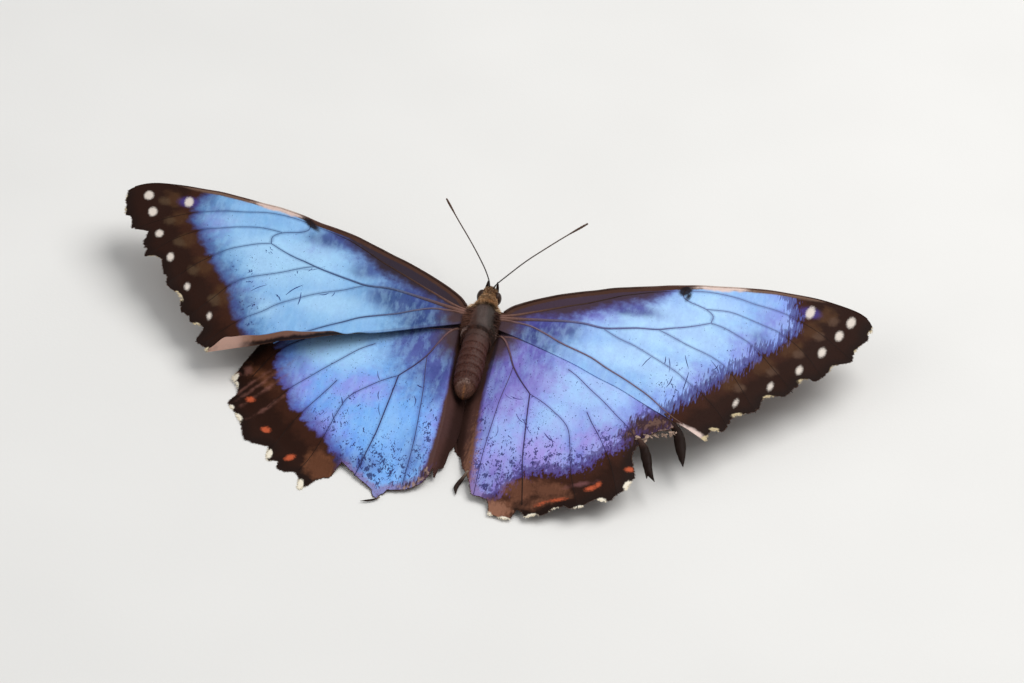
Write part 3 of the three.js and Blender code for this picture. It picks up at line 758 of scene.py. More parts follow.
def lay(kind, side, u, v):
    """A wing's height with the right forewing's rear edge let down onto the hindwing."""
    height = undraped(kind, side, u, v)
    if (kind, side) != ("forewing", "right"):
        return height
    gap = height - undraped("hindwing", side, u, v) - EDGE_CLEARANCE
    _, _, rear = wing_outline(kind, side)
    near = 1 - smooth(0.3, DRAPE_WIDTH, from_line(u, v, rear))
    return height - clamp(gap) * (near * smooth(3, 8, u) * (1 - smooth(33, 36, u)))


def in_space(side, u, v, z):
    return np.stack([MIDDLE_X + OUTWARD[side] * (HALF_BODY + u), -v, z], -1)


def sheet_faces(rows, columns):
    """A sheet's top, underside and rim over two grids of points, and the points round its rim."""
    i, j = np.meshgrid(np.arange(rows - 1), np.arange(columns - 1), indexing="ij")
    a = (i * columns + j).ravel()
    top = np.stack([a, a + columns, a + columns + 1, a + 1], 1)
    under = top[:, ::-1] + rows * columns
    loop = np.concatenate([
        np.arange(columns), np.arange(1, rows) * columns + columns - 1,
        (rows - 1) * columns + np.arange(columns - 2, -1, -1), np.arange(rows - 2, 0, -1) * columns])
    following = np.roll(loop, -1)
    rim = np.stack([loop, following, following + rows * columns, loop + rows * columns], 1)
    return top, under, rim, loop


def sheet_uv(u, v, top, under, rim_length, side):
    """The bake map of a wing: its top above, its underside below, and its rim in a strip between."""
    plan = np.stack([(u - u.min()) / (u.max() - u.min()), (v - v.min()) / (v.max() - v.min())], -1)
    plan = plan.reshape(-1, 2)
    top_uv = plan * [0.98, 0.47] + [0.01, 0.52]
    under_uv = np.vstack([plan, plan]) * [0.98, 0.47] + [0.01, 0.005]
    place = np.linspace(0.01, 0.99, rim_length + 1)
    strip = np.stack([np.stack([place[:-1], place[1:], place[1:], place[:-1]], 1),
                      np.broadcast_to([0.508, 0.508, 0.487, 0.487], (rim_length, 4))], -1)
    if side == "right":
        strip = strip[:, ::-1]
    return [top_uv[top], under_uv[under], strip]


def wing_sheet(kind, side, materials):
    """One wing as a thin closed sheet. Returns its margin's places and normals, for the fringe."""
    key = f"{kind}_{side}"
    s = stations(kind, side)[:, None]
    t = np.linspace(TUCKED_IN, 1, GRID[kind][1])[None, :]
    seed = 40 + len(key)
    wear = FRAY[kind] * (0.6 + 0.6 * ripple(s * 48, s * 0, 1.6, seed))
    wear = wear + 0.22 * clamp(ripple(s * 48, s * 0, 0.6, seed + 1) - 0.2)
    s, t = np.broadcast_arrays(s, t)
    u, v = wing_plan(kind, side, s, t, wear)
    marks = wing_marks(kind, side, u, v)
    z = lay(kind, side, u, v) + flap_rise(kind, side, s, t)
    z = np.maximum(z + VEIN_RISE * np.exp(-(((marks["vein"] - VEIN_REACH) / 0.5) ** 2)), LEAST_HEIGHT)
    middle = in_space(side, u, v, z)
    normal = np.cross(np.gradient(middle, axis=1), np.gradient(middle, axis=0))
    normal /= np.linalg.norm(normal, axis=2)[..., None] + 1e-12
    normal *= np.where(normal[..., 2:] < 0, -1.0, 1.0)
    half = (MEMBRANE - 0.04 * clamp(t))[..., None]
    rows, columns = s.shape
    top, under, rim, loop = sheet_faces(rows, columns)
    if side == "right":
        top, under, rim = top[:, ::-1], under[:, ::-1], rim[:, ::-1]
    uv = sheet_uv(u, v, top, under, len(loop), side)
    sheet = Shape()
    points = np.vstack([(middle + normal * half).reshape(-1, 3), (middle - normal * half).reshape(-1, 3)])
    fields = {name: np.tile(field.ravel(), 2) for name, field in marks.items()}
    fields["flap"] = np.tile(np.broadcast_to(flap_rise(kind, side, s, t) - 0.25, s.shape).ravel(), 2)
    sheet.add(points, [top, under, rim], uv=uv, **fields)
    sheet.finish = [0] * len(top) + [1] * len(under) + [0] * len(rim)
    sheet.piece(f"{key}_scales", materials, kind, (key,))
    edge = loop[columns - 1:columns + rows - 1]
    return middle.reshape(-1, 3)[edge], normal.reshape(-1, 3)[edge], u.ravel()[edge], v.ravel()[edge]


def wing_veins(kind, side, material):
    """The veins as fine raised rods, dark underneath and at the roots and borders."""
    rods = Shape()
    key = f"{kind}_{side}"
    whole, front, _ = wing_outline(kind, side)
    routes = dict(PATHS[kind])
    routes["edge"] = through(front[:-1], 0.6)
    for name, path in routes.items():
        keep = inside(path[:, 0], path[:, 1], whole) | (path[:, 0] < 1.5) | (name == "edge")
        path = path[keep]
        if len(path) < 4:
            continue
        broad = EDGE_VEIN if name == "edge" else VEIN_WIDTHS.get(name, FINE_VEIN)
        u, v = path.T
        z = np.maximum(lay(kind, side, u, v) + 0.06, broad[0] / 2)
        marks = wing_marks(kind, side, u, v)
        lane = np.linspace(0, 1, len(path))
        radii = (broad[0] + (broad[1] - broad[0]) * lane**0.7) / 2
        points, faces, along = tube(in_space(side, u, v, z), radii, VEIN_SIDES)
        dark = np.maximum(smooth(-0.8, 0.6, marks["border"]), smooth(-1.5, 1.0, marks["front"]))
        dark = np.maximum(dark, smooth(-0.4, 0.2, marks["wedge"]))
        rosy = np.exp(-clamp(u, 0, 99) / 8 - clamp(-v - 6, 0, 99) / 8)
        if name == "anal" and side == "right":
            rosy = np.maximum(rosy, 0.65)
        if name == "edge":
            dark = np.full(len(u), 1.0)
            rosy = 0.2 + 0.3 * smooth(18, 30, u) * (1 - smooth(50, 58, u))
        cream = smooth(-0.4, 0.6, marks["pink"]) * (name == "edge") * (u > 30)
        below = np.append(np.tile(np.arange(VEIN_SIDES) > 3, len(path)), [False, False])
        rods.add(points, faces, dark=np.maximum(np.interp(along, lane, dark), below),
                 rosy=np.interp(along, lane, rosy) * (1 - below), cream=np.interp(along, lane, cream))
    rods.piece(f"{key}_veins", [material], "vein")


FRINGE_STEP = 0.11
FRINGE_LEFT = 0.82  # the share of the fringe's scales that is not worn off
ABOVE_FLOOR = 0.02


def fringe(kind, side, edge, materials, rng):
    """The worn fringe: short flat scales standing out from the margin, cream in its hollows."""
    middle, normal, u, v = edge
    run = np.concatenate([[0], np.cumsum(np.linalg.norm(np.diff(middle, axis=0), axis=1))])
    place = np.arange(0, run[-1], FRINGE_STEP)
    place = place + rng.uniform(0, 0.08, int(np.ceil(run[-1] / FRINGE_STEP)))
    place = place[rng.uniform(size=len(place)) < FRINGE_LEFT]

    def spot(field):
        return np.interp(place, run, field)

    roots = np.stack([spot(middle[:, k]) for k in range(3)], 1)
    normals = np.stack([spot(normal[:, k]) for k in range(3)], 1)
    ahead = np.stack([np.interp(place + 0.6, run, middle[:, k]) - np.interp(place - 0.6, run, middle[:, k])
                      for k in range(3)], 1)
    out = np.cross(ahead, normals) * OUTWARD[side]
    out /= np.linalg.norm(out, axis=1)[:, None] + 1e-9
    middle_v = -8.0 if kind == "forewing" else -18.0
    centre = in_space(side, np.array([20.0]), np.array([middle_v]), np.array([8.0]))
    away = np.sign(((roots - centre) * out).sum(1))[:, None]
    out = out * away + rng.normal(0, 0.22, (len(roots), 3))
    out[:, 2] *= 0.4
    out /= np.linalg.norm(out, axis=1)[:, None]
    key = f"{kind}_{side}"
    cream = ovals(spot(u), spot(v), snapped(key, CREAM_MARKS[key]))
    pale = smooth(-0.25, 0.1, cream + rng.normal(0, 0.12, len(cream)))
    lengths = rng.uniform(0.25, 0.5, len(roots)) + 0.2 * pale
    roots = roots - out * 0.15
    uv = np.stack([place / run[-1] * 0.98 + 0.01, rng.uniform(0.02, 0.98, len(place))], 1)
    made = Shape()
    points, faces, patch = hairs(roots, out, normals, lengths, rng.uniform(0.1, 0.2, len(roots)),
                                 np.zeros(len(roots)), rng, uv)
    points[:, 2] = np.maximum(points[:, 2], ABOVE_FLOOR)
    made.add(points, faces, uv=patch, cream=per_lock(pale))
    made.piece(f"{key}_fringe", materials, kind)


# Long scratches, scattered about a middle: how many, (u, v), reach each way, heading, longest.
SCRATCH_FIELDS = {
    "forewing_left": (7, (32, -2), (9, 6), 130, 4.5),
    "forewing_right": (10, (34, -5), (7, 7), -80, 5.0),
    "hindwing_left": (9, (11, -22), (7, 8), -120, 3.5),
    "hindwing_right": (9, (8, -22), (5, 5), -50, 3.0),
}
SCRATCH_SPREAD = 25  # degrees either way of the heading
SCRATCH_BOW = 0.08  # sideways bend, as a share of the length
SCRATCH_WIDTH = 0.17
KNOTS_OF_NICKS = 0.42  # knots for each square mm of a worn pool at full strength


def long_scratches(key):
    """Gently bowed strokes, with their own seed so that no other piece's chance draws change."""
    count, middle, reach, heading, longest = SCRATCH_FIELDS[key]
    rng = np.random.default_rng(70 + list(SCRATCH_FIELDS).index(key))
    strokes = []
    for _ in range(count):
        start = np.array(middle) + np.array(reach) * rng.uniform(-1, 1, 2)
        angle = np.radians(heading + rng.normal(0, SCRATCH_SPREAD))
        way = np.array([np.cos(angle), np.sin(angle)]) * longest * rng.uniform(0.3, 1.0)
        bow = np.array([-way[1], way[0]]) * rng.normal(0, SCRATCH_BOW)
        strokes.append(through([start, start + way / 2 + bow, start + way], 0.3))
    return strokes


def scratches(kind, side, material, rng):
    """Fine dark lines where scales are scraped off, with many short nicks between them."""
    key = f"{kind}_{side}"
    lines = long_scratches(key)
    for cu, cv, ru, rv, strength in WORN_POOLS[key]:
        for _ in range(int(KNOTS_OF_NICKS * ru * rv * strength)):
            knot = np.array([cu + ru * rng.normal(0, 0.6), cv + rv * rng.normal(0, 0.6)])
            turn = rng.normal(-np.pi / 2, 0.6)
            for _ in range(rng.integers(2, 7)):
                start = knot + rng.normal(0, 0.4, 2)
                angle = turn + rng.normal(0, 0.3)
                way = np.array([np.cos(angle), np.sin(angle)]) * rng.uniform(0.12, 0.75)
                lines.append(np.array([start, start + way / 2 + rng.normal(0, 0.07, 2), start + way]))
    outline = blue_outline(BLUE_EDGE[key])
    starts = np.array(DARK_FRONT[side])
    whole = wing_outline(kind, side)[0]
    nicks = Shape()
    for line in lines:
        u, v = line.T
        if not (inside(u, v, outline) & inside(u, v, whole)).all():
            continue
        if kind == "hindwing" and ((u < 0.3).any() or (v > -7).any()):
            continue
        if kind == "forewing" and (v > np.interp(u, starts[:, 0], starts[:, 1])).any():
            continue
        if from_line(u, v, margin_points(key, np.linspace(0, 1, 200))).min() < 0.8:
            continue
        z = lay(kind, side, u, v) + MEMBRANE - 0.02
        wide = SCRATCH_WIDTH / 2 * rng.uniform(0.6, 1.3)
        points, faces, _ = tube(in_space(side, u, v, z), [wide * 0.4, wide, wide, wide * 0.3], 5)
        nicks.add(points, faces)
    nicks.piece(f"{key}_scratches", [material], kind)


TORN_BANDS = {  # where membrane is worn bare and frays: points (u, v) along it and its half-width
    "right": [([(25.8, -24.8), (28.8, -22.5), (34.4, -20.3)], 1.1), ([(28.4, -21.8), (31.8, -20.0)], 1.9)],
    "left": [([(-0.8, -37.2), (-0.4, -38.6), (0.6, -40.2), (2.4, -41.2)], 0.7)],
}
TORN_LINES = {  # where scraps hang from the tear
    "right": [[(27.9, -24.9), (29.6, -24.0), (31.8, -23.0), (34.2, -22.0)]],
    "left": [],
}
SCRAPS = {  # loose slivers: a path (u, v) and its width
    "right": [([(0.6, -35.4), (-0.3, -36.6), (-0.8, -38.6), (-0.5, -40.4)], 0.42)],
    "left": [([(5.6, -44.6), (6.8, -45.6), (8.6, -46.4)], 0.18)],
}


def shreds(material, rng):
    """Frayed strips of dry membrane along the tears, and a few loose slivers."""
    made = Shape()
    for side in SIDES:
        for line in TORN_LINES[side]:
            plan = through(line, 0.35)
            plan = plan + rng.normal(0, 0.25, plan.shape)
            turn = np.radians(-80 + rng.normal(0, 50, len(plan)))
            z = np.maximum(lay("hindwing", side, *plan.T), 0.25) + rng.uniform(0, 0.25, len(plan))
            roots = in_space(side, *plan.T, z)
            lean = rng.normal(0, 0.15, len(plan))
            ways = np.stack([OUTWARD[side] * np.cos(turn), -np.sin(turn), lean], 1)
            points, faces, _ = hairs(roots, ways, np.tile([0, 0, 1.0], (len(plan), 1)),
                                     rng.uniform(0.3, 1.2, len(plan)), rng.uniform(0.3, 0.9, len(plan)),
                                     rng.normal(0, 0.1, len(plan)), rng)
            middle = per_lock(roots[:, 2])
            points[:, 2] = middle + (points[:, 2] - middle) * 0.35
            points[:, 2] = np.maximum(points[:, 2], ABOVE_FLOOR)
            made.add(points, faces, shade=per_lock(rng.uniform(0.3, 1.1, len(plan))))
        for line, width in SCRAPS[side]:
            plan = through(line, 0.2)
            z = np.maximum(lay("hindwing", side, *plan.T), 0.3) + 0.1
            points, faces, along = tube(in_space(side, *plan.T, z), [width * 0.6, width, width, 0.03], 6)
            made.add(points, faces, shade=0.55 * (1 - smooth(0, 0.3, along)))
    made.piece("torn_shreds", [material], "hindwing")


# ------------------------------------------------------------------ the body's shape
# Cross-sections as (y, middle height, half-width, half-height), nose to tail.
HEAD = [(-6.2, 9.0, 0.5, 0.55), (-5.8, 8.95, 1.05, 1.2), (-5.1, 8.95, 1.45, 1.7), (-4.3, 8.9, 1.6, 1.9),
        (-3.4, 8.85, 1.6, 1.85), (-2.6, 8.8, 1.5, 1.65)]
NECK = [(-1.9, 8.75, 1.45, 1.5)]
THORAX = [(-1.2, 8.6, 1.9, 1.95), (0.0, 8.5, 2.45, 2.6), (1.6, 8.4, 2.75, 3.1), (3.4, 8.35, 2.85, 3.2),
          (5.4, 8.3, 2.9, 3.15), (7.4, 8.25, 2.85, 3.0), (9.2, 8.1, 2.7, 2.8)]
WAIST = [(10.35, 7.98, 2.6, 2.6)]
ABDOMEN = [(11.2, 7.85, 2.58, 2.5), (12.6, 7.55, 2.6, 2.5), (14.2, 7.15, 2.62, 2.5),
           (15.7, 6.65, 2.55, 2.4), (17.1, 6.1, 2.4, 2.25), (18.4, 5.6, 2.05, 1.9),
           (19.4, 5.15, 1.45, 1.3), (19.8, 5.0, 0.9, 0.8)]
BODY = np.array(HEAD + NECK + THORAX + WAIST + ABDOMEN)
COAT = [(-6.1, 0.12), (-5.0, 0.3), (-2, 0.3), (0, 0.3), (9, 0.35), (10.5, 0.3), (12, 0.2), (19.8, 0.15)]
SEGMENT_ENDS = (8.9, 10.6, 12.2, 13.8, 15.4, 16.9, 18.3)
NOSE_Y, NOSE_TIP = -6.2, -6.35
TAIL_Y, TAIL_TIP = 19.8, 19.95
BAKE_NOSE, BAKE_LENGTH = -6.3, 26.3  # the stretch in y that the body's bake map takes in
EYE = (-4.25, 8.85)
EYE_HALF = (0.85, 1.15, 1.3)
EYE_INNER_FACE = 1.45
SHIELD_MIDDLE, SHIELD_HALF = 3.3, 3.2  # the grey shield on the thorax's back, along y


def axis_x(y):
    return BODY_X + BODY_SLANT * np.asarray(y)


def rounded(column):
    """The cross-sections' figures, joined by a smooth curve."""
    y = np.linspace(BODY[0, 0], BODY[-1, 0], 400)
    line = np.interp(y, BODY[:, 0], column)
    for _ in range(30):
        line[1:-1] = (line[:-2] + 2 * line[1:-1] + line[2:]) / 4
    return y, line


PROFILE = [rounded(BODY[:, k]) for k in (1, 2, 3)]


def section(y):
    """The body's middle height, half-width and half-height at y, over the fur."""
    return [np.interp(y, *line) for line in PROFILE]


def body_point(y, angle, depth):
    """A point of the body's side at y and angle (0 to the left, a quarter turn is up)."""
    z, wide, high = section(y)
    return np.stack([axis_x(y) + (wide - depth) * np.cos(angle), y + 0 * angle,
                     z + (high - depth) * np.sin(angle)], -1)


def coat_depth(y):
    return np.interp(y, *np.array(COAT).T)


def body_normal(y, angle):
    d = 0.05
    along = body_point(y + d, angle, 0) - body_point(y - d, angle, 0)
    round_ = body_point(y, angle + d, 0) - body_point(y, angle - d, 0)
    normal = np.cross(along, round_)
    return normal / (np.linalg.norm(normal, axis=-1)[..., None] + 1e-12)


def bake_place(y, turn):
    """Where a place on the body lies on the bake map: y runs across it and the turn, 0 to 1, up."""
    return np.stack([(y - BAKE_NOSE) / BAKE_LENGTH * 0.98 + 0.01, turn * 0.98 + 0.01], -1)


def body_marks(points):
    """The painted fields of the body's skin and coat alike, by place."""
    x, y, z = points.T
    aside, up = np.abs(x - axis_x(y)), z - np.interp(y, BODY[:, 0], BODY[:, 1])
    rings = np.full(y.shape, -9.0)
    for end in SEGMENT_ENDS:
        rings = np.maximum(rings, 0.1 - np.abs(y - end))
    across = x - axis_x(y) + 0.3 + 0.15 * (y - 0.6)
    shield = (1 - np.maximum(np.abs(y - SHIELD_MIDDLE) / SHIELD_HALF, np.abs(across) / 1.85)) * 2.0
    return {
        "gold": 0.4 - y,
        "trunk": 9.5 - y,
        "face": (1 - np.hypot((y + 4.4) / 1.0, aside / 0.45)) * 0.6,
        "grey": shield,
        # painted shade on the right half of the shield
        "shaded_half": np.minimum(shield, -across - 0.1),
        # painted shade in the groove behind the shield
        "groove_shade": np.minimum(0.6 - np.abs(y - 7.2 + 0.3 * np.cos(aside)), 1.8 - np.abs(across)),
        "rings": rings,
        # painted highlight: a pale arc across the abdomen near its tip, toward the left
        "ring_highlight": np.minimum(0.2 - np.abs(y - 18.2 - 0.2 * aside), 1.1 - np.abs(x - axis_x(y) - 0.3)),
        # painted light on the thorax's left flank
        "lit_flank": np.minimum(x - axis_x(y) - 1.2 - 0.1 * (y - 0.6), 2.5 - np.abs(y - 3.6)),
        # painted highlight on the tufts at both wing roots
        "root_highlight": 0.5 - np.minimum(np.hypot(y - 7.0, x - axis_x(y) - 3.0),
                                  np.hypot(y - 5.9, x - axis_x(y) + 3.7)),
        # painted highlight along the middle of the abdomen's tip
        "tip_highlight": 0.16 - np.hypot(aside, clamp(19.0 - y, 0, 9)),
        "tip": y - 18.3,
        "below": -up - 1.4,
    }


def body_skin(material):
    """One closed skin from nose to tail."""
    y = np.concatenate([np.linspace(NOSE_Y, -1.2, 50), np.linspace(-1.1, 10.3, 90),
                        np.linspace(10.4, TAIL_Y, 110)])
    angle = np.linspace(0, 2 * np.pi, 72, endpoint=False)
    yy, aa = np.meshgrid(y, angle, indexing="ij")
    depth = coat_depth(yy)
    back = np.clip(np.sin(aa), 0, 1)
    for end in SEGMENT_ENDS:
        groove = 0.06 * np.exp(-(((yy - end) / 0.13) ** 2))
        swelling = 0.05 * np.exp(-(((yy - end + 0.4) / 0.3) ** 2))
        depth = depth + groove - swelling
    depth = depth + 0.25 * np.exp(-(((yy - 7.2) / 0.4) ** 2)) * back
    furrow = 0.1 * np.exp(-((np.cos(aa) / 0.12) ** 2)) * back
    depth = depth + furrow * smooth(0.2, 1.2, yy) * (1 - smooth(4, 5, yy))
    points = body_point(yy, aa, depth).reshape(-1, 3)
    ends = np.array([body_point(np.array(end), 0.0, section(end)[1]) for end in (NOSE_TIP, TAIL_TIP)])
    ends[0, 2], ends[1, 2] = section(NOSE_Y)[0], section(TAIL_Y)[0]
    points = np.vstack([points, ends])
    skin = Shape()
    skin.add(points, ring_faces(len(y), len(angle)), uv=skin_uv(y, len(angle)), **body_marks(points))
    skin.piece("body_skin", [material], "body_fur", ("head", "thorax", "abdomen"))


def skin_uv(y, around):
    """The bake map of the body's skin, cut open along its left side: its quads and its two ends."""
    turn = np.linspace(0, 1, around + 1)

    def corner(rows, columns):
        return bake_place(y[rows], turn[columns])

    def tip(place):
        return np.stack([np.full(around, place), turn[:-1] * 0.98 + 0.01], -1)

    rows, columns = np.repeat(np.arange(len(y) - 1), around), np.tile(np.arange(around), len(y) - 1)
    quads = np.stack([corner(rows, columns), corner(rows + 1, columns),
                      corner(rows + 1, columns + 1), corner(rows, columns + 1)], 1)
    k = np.arange(around)
    nose, tail = np.zeros(around, int), np.full(around, len(y) - 1)
    caps = np.vstack([np.stack([tip(0.004), corner(nose, k), corner(nose, k + 1)], 1),
                      np.stack([tip(0.996), corner(tail, k + 1), corner(tail, k)], 1)])
    return [quads, caps]


def coat_piece(name, points, faces, patch, marked_at, shades, material, slot):
    """Many locks made one piece, each lock painted by one place and with its own shade."""
    marks = {mark: per_lock(field) for mark, field in body_marks(marked_at).items()}
    coat = Shape()
    coat.add(points, faces, uv=patch, shade=per_lock(shades), **marks)
    coat.piece(name, [material], slot)


def fur(name, count, y_range, length, width, lean, material, rng, slot, keep=None):
    """Tufts over the body between two stations: length and width in mm, lean 0 upright to 1 flat."""
    y = rng.uniform(*y_range, count)
    angle = rng.uniform(0, 2 * np.pi, count)
    if keep is not None:
        chosen = rng.uniform(size=count) < keep(y, angle)
        y, angle = y[chosen], angle[chosen]
    roots = body_point(y, angle, coat_depth(y) + 0.06)
    normals = body_normal(y, angle)
    back = np.array([0.0, 1.0, 0.0]) - normals * normals[:, 1:2]
    back /= np.linalg.norm(back, axis=1)[:, None] + 1e-9
    swirl = rng.normal(0, 0.35, len(y))[:, None] * np.cross(normals, back)
    ways = back * lean + normals * (1 - lean) + swirl * 0.6 + rng.normal(0, 0.08, (len(y), 3))
    ways /= np.linalg.norm(ways, axis=1)[:, None]
    lengths = rng.uniform(0.7, 1.15, len(y)) * length
    uv = bake_place(y, angle / (2 * np.pi))
    points, faces, patch = hairs(roots, ways, normals, lengths, rng.uniform(0.7, 1.3, len(y)) * width,
                                 np.full(len(y), -0.12), rng, uv)
    coat_piece(name, points, faces, patch, roots, rng.uniform(0, 1, len(y)), material, slot)


def off_the_eyes(y, angle):
    """No tufts grow where the eyes stand."""
    return np.hypot((y - EYE[0]) / 0.95, np.sin(angle) / 0.5) > 1


def off_the_shield(y, angle):
    """The shield on the thorax's back is nearly bare of tufts."""
    across = np.abs(angle - np.pi / 2 - 0.08 * y) / 0.66
    reach = np.maximum(np.abs(y - SHIELD_MIDDLE) / SHIELD_HALF, across)
    return 1 - 0.97 * (reach < 1)


def shoulders(count, material, rng):
    """Long hair from the thorax's sides out over the wings' roots, count locks on each."""
    for side in SIDES:
        y = rng.uniform(-0.6, 8.6, count)
        angle = rng.normal(0.15, 0.25, count)
        turn = angle if side == "left" else np.pi - angle
        roots = body_point(y, turn, coat_depth(y))
        sweep = np.radians(-25 + 85 * (y + 0.9) / 11 + rng.normal(0, 14, count))
        fall = -0.12 - 0.2 * smooth(3, 6, y) + rng.normal(0, 0.08, count)
        ways = np.stack([OUTWARD[side] * np.cos(sweep), np.sin(sweep), fall], 1)
        ways /= np.linalg.norm(ways, axis=1)[:, None]
        lengths = rng.uniform(0.6, 1.5, count) * (1.0 if side == "left" else 0.75)
        lengths = lengths * (1 - 0.65 * smooth(3, 8.6, y))
        uv = bake_place(y, (turn % (2 * np.pi)) / (2 * np.pi))
        widths, lifts = rng.uniform(0.08, 0.15, count), rng.uniform(-0.1, 0.15, count)
        points, faces, patch = hairs(roots, ways, np.tile([0, 0, 1.0], (count, 1)), lengths, widths,
                                     lifts, rng, uv)
        tips = roots + ways * lengths[:, None]
        coat_piece(f"shoulder_tufts_{side}", points, faces, patch, tips, rng.uniform(0, 1, count),
                   material, "body_fur")


# ------------------------------------------------------------------ eyes, feelers, legs, mouth parts
def eyes(material):
    """Two domed eyes, each set a little way into the head."""
    rings, around = 26, 44
    for side in SIDES:
        lift = np.linspace(-np.pi / 2, np.pi / 2, rings)[1:-1]
        angle = np.linspace(0, 2 * np.pi, around, endpoint=False)
        ll, aa = np.meshgrid(lift, angle, indexing="ij")
        centre = np.array([axis_x(EYE[0]) + OUTWARD[side] * (EYE_INNER_FACE - 0.05), EYE[0], EYE[1]])
        dome = np.stack([OUTWARD[side] * np.sin(ll), np.cos(ll) * np.cos(aa), np.cos(ll) * np.sin(aa)], -1)
        poles = [[-OUTWARD[side], 0, 0], [OUTWARD[side], 0, 0]]
        points = np.vstack([dome.reshape(-1, 3), poles]) * EYE_HALF + centre
        quads, caps = ring_faces(len(lift), around)
        quads, caps = quads[:, [0, 3, 2, 1]], caps[:, [0, 2, 1]]
        if side == "right":
            quads, caps = quads[:, ::-1], caps[:, ::-1]
        dome = Shape()
        dome.add(points, [quads, caps])
        dome.piece(f"eye_{side}_dome", [material], "eye", (f"eye_{side}",))


ANTENNA = {
    "left": [(-0.35, -5.0, 10.1), (-0.25, -5.6, 11.0), (0.9, -8.3, 11.5), (3.0, -12.0, 12.0),
             (5.5, -15.9, 12.6), (8.2, -20.0, 13.1), (11.4, -24.8, 14.0)],
    "right": [(-1.0, -4.9, 10.1), (-1.45, -5.4, 11.0), (-3.3, -8.4, 11.7), (-5.8, -12.2, 12.5),
              (-8.8, -16.1, 13.3), (-11.8, -19.6, 14.2), (-15.2, -22.8, 15.5)],
}
LEGS = {
    "foreleg": ([(0.9, -0.7, 7.4), (1.3, -1.1, 5.6), (1.75, -2.4, 5.2), (1.6, -4.1, 5.5),
                 (1.35, -5.5, 6.0)],
                [0.32, 0.28, 0.3, 0.26, 0.2]),
    "midleg": ([(0.9, 2.0, 6.3), (1.2, 1.6, 4.75), (3.4, 0.3, 5.3), (5.9, -1.1, 5.7), (7.4, -2.6, 3.6),
                (8.9, -4.1, 1.0), (10.3, -5.6, 0.3), (12.0, -7.6, 0.24)],
               [0.45, 0.45, 0.42, 0.3, 0.24, 0.2, 0.16, 0.14]),
    "hindleg": ([(0.9, 6.0, 6.3), (1.2, 6.4, 4.7), (2.9, 8.2, 4.7), (4.9, 10.2, 4.9), (6.3, 12.2, 3.0),
                 (7.6, 14.0, 0.95), (8.8, 15.6, 0.3), (10.4, 17.8, 0.24)],
                [0.45, 0.45, 0.42, 0.3, 0.24, 0.2, 0.16, 0.14]),
}
PALP = ([(0.7, -4.9, 8.0), (0.95, -6.0, 7.3), (1.0, -6.9, 8.0), (0.95, -7.5, 9.0), (0.85, -7.7, 10.0)],
        [0.26, 0.3, 0.34, 0.28, 0.12])
COIL_CENTRE = (-7.0, 6.5)
COIL_TURNS = 2.125
COIL_STEPS = 150
COIL_RADIUS = (0.45, 1.6)
COIL_ROOT = (-5.2, 8.4)  # where the tongue leaves the head


def mirrored(side, points):
    return [(axis_x(y) + OUTWARD[side] * out, y, z) for out, y, z in points]


def ringed(radii, count, depth):
    """A limb's radii with count narrow joints nicked into them."""
    lane = np.linspace(0, 1, count * 6 + 1)
    wide = np.interp(lane, np.linspace(0, 1, len(radii)), radii)
    return wide * (1 - depth * (np.cos(2 * np.pi * lane * count) > 0.9))


def feelers(material):
    """Two beaded antennae that swell into slim clubs."""
    for side in SIDES:
        path = through(ANTENNA[side], 0.12)
        lane = np.linspace(0, 1, len(path))
        stalk = 0.12 + 0.05 * smooth(0, 0.06, 0.06 - lane)
        club = stalk + 0.1 * smooth(0.8, 0.93, lane) * (1 - 0.5 * smooth(0.95, 1, lane))
        beads = club * (1 - 0.2 * (np.arange(len(path)) % 5 == 0))
        points, faces, along = tube(path, beads, 10)
        feeler = Shape()
        feeler.add(points, faces, along=along)
        feeler.piece(f"antenna_{side}_beads", [material], "cuticle", (f"antenna_{side}",))


def claws(foot, way):
    """The two small claws that spread from a foot, each as corner points, faces and places along."""
    for spread in (-1, 1):
        aside = np.array([-way[1], way[0], 0]) * spread
        claw = [foot, foot + way * 0.35 + aside * 0.14,
                foot + way * 0.6 + aside * 0.12 - [0, 0, 0.14]]
        yield tube(through(claw, 0.08), [0.07, 0.06, 0.02], 6)


def legs(side, material):
    """One side's three legs, nicked at their joints, with claws on the two that walk."""
    for name, (path, radii) in LEGS.items():
        path = through(mirrored(side, path), 0.2)
        solids = [tube(path, ringed(radii, 7, 0.2), 10)]
        way = path[-1] - path[-2]
        if name != "foreleg":
            solids += claws(path[-1], way / np.linalg.norm(way))
        made = Shape()
        for points, faces, along in solids:
            points[:, 2] = np.maximum(points[:, 2], 0.0)
            made.add(points, faces, along=along)
        made.piece(f"{name}_{side}_joints", [material], "cuticle", (f"{name}_{side}",))


def palp(side, material):
    """One furred palp, which stands up beside the tongue."""
    path, radii = PALP
    points, faces, along = tube(through(mirrored(side, path), 0.12), radii, 12)
    made = Shape()
    made.add(points, faces, along=along, **{**body_marks(points), "gold": -9.0})
    made.piece(f"palp_{side}_scales", [material], "head_fur", (f"palp_{side}",))


def tongue(material):
    """The coiled tongue and its root, which runs up into the head."""
    turn = np.linspace(0, COIL_TURNS * 2 * np.pi, COIL_STEPS)
    radius = np.linspace(*COIL_RADIUS, COIL_STEPS)
    coil = np.stack([np.full(COIL_STEPS, axis_x(COIL_CENTRE[0])), COIL_CENTRE[0] + radius * np.cos(turn),
                     COIL_CENTRE[1] + radius * np.sin(turn)], 1)
    root = np.linspace(coil[-1], (axis_x(COIL_ROOT[0]), *COIL_ROOT), 12)[1:]
    points, faces, along = tube(np.vstack([coil, root]), ringed([0.14, 0.18, 0.22], 30, 0.06), 12)
    made = Shape()
    made.add(points, faces, along=along)
    made.piece("tongue_coil", [material], "cuticle", ("tongue",))


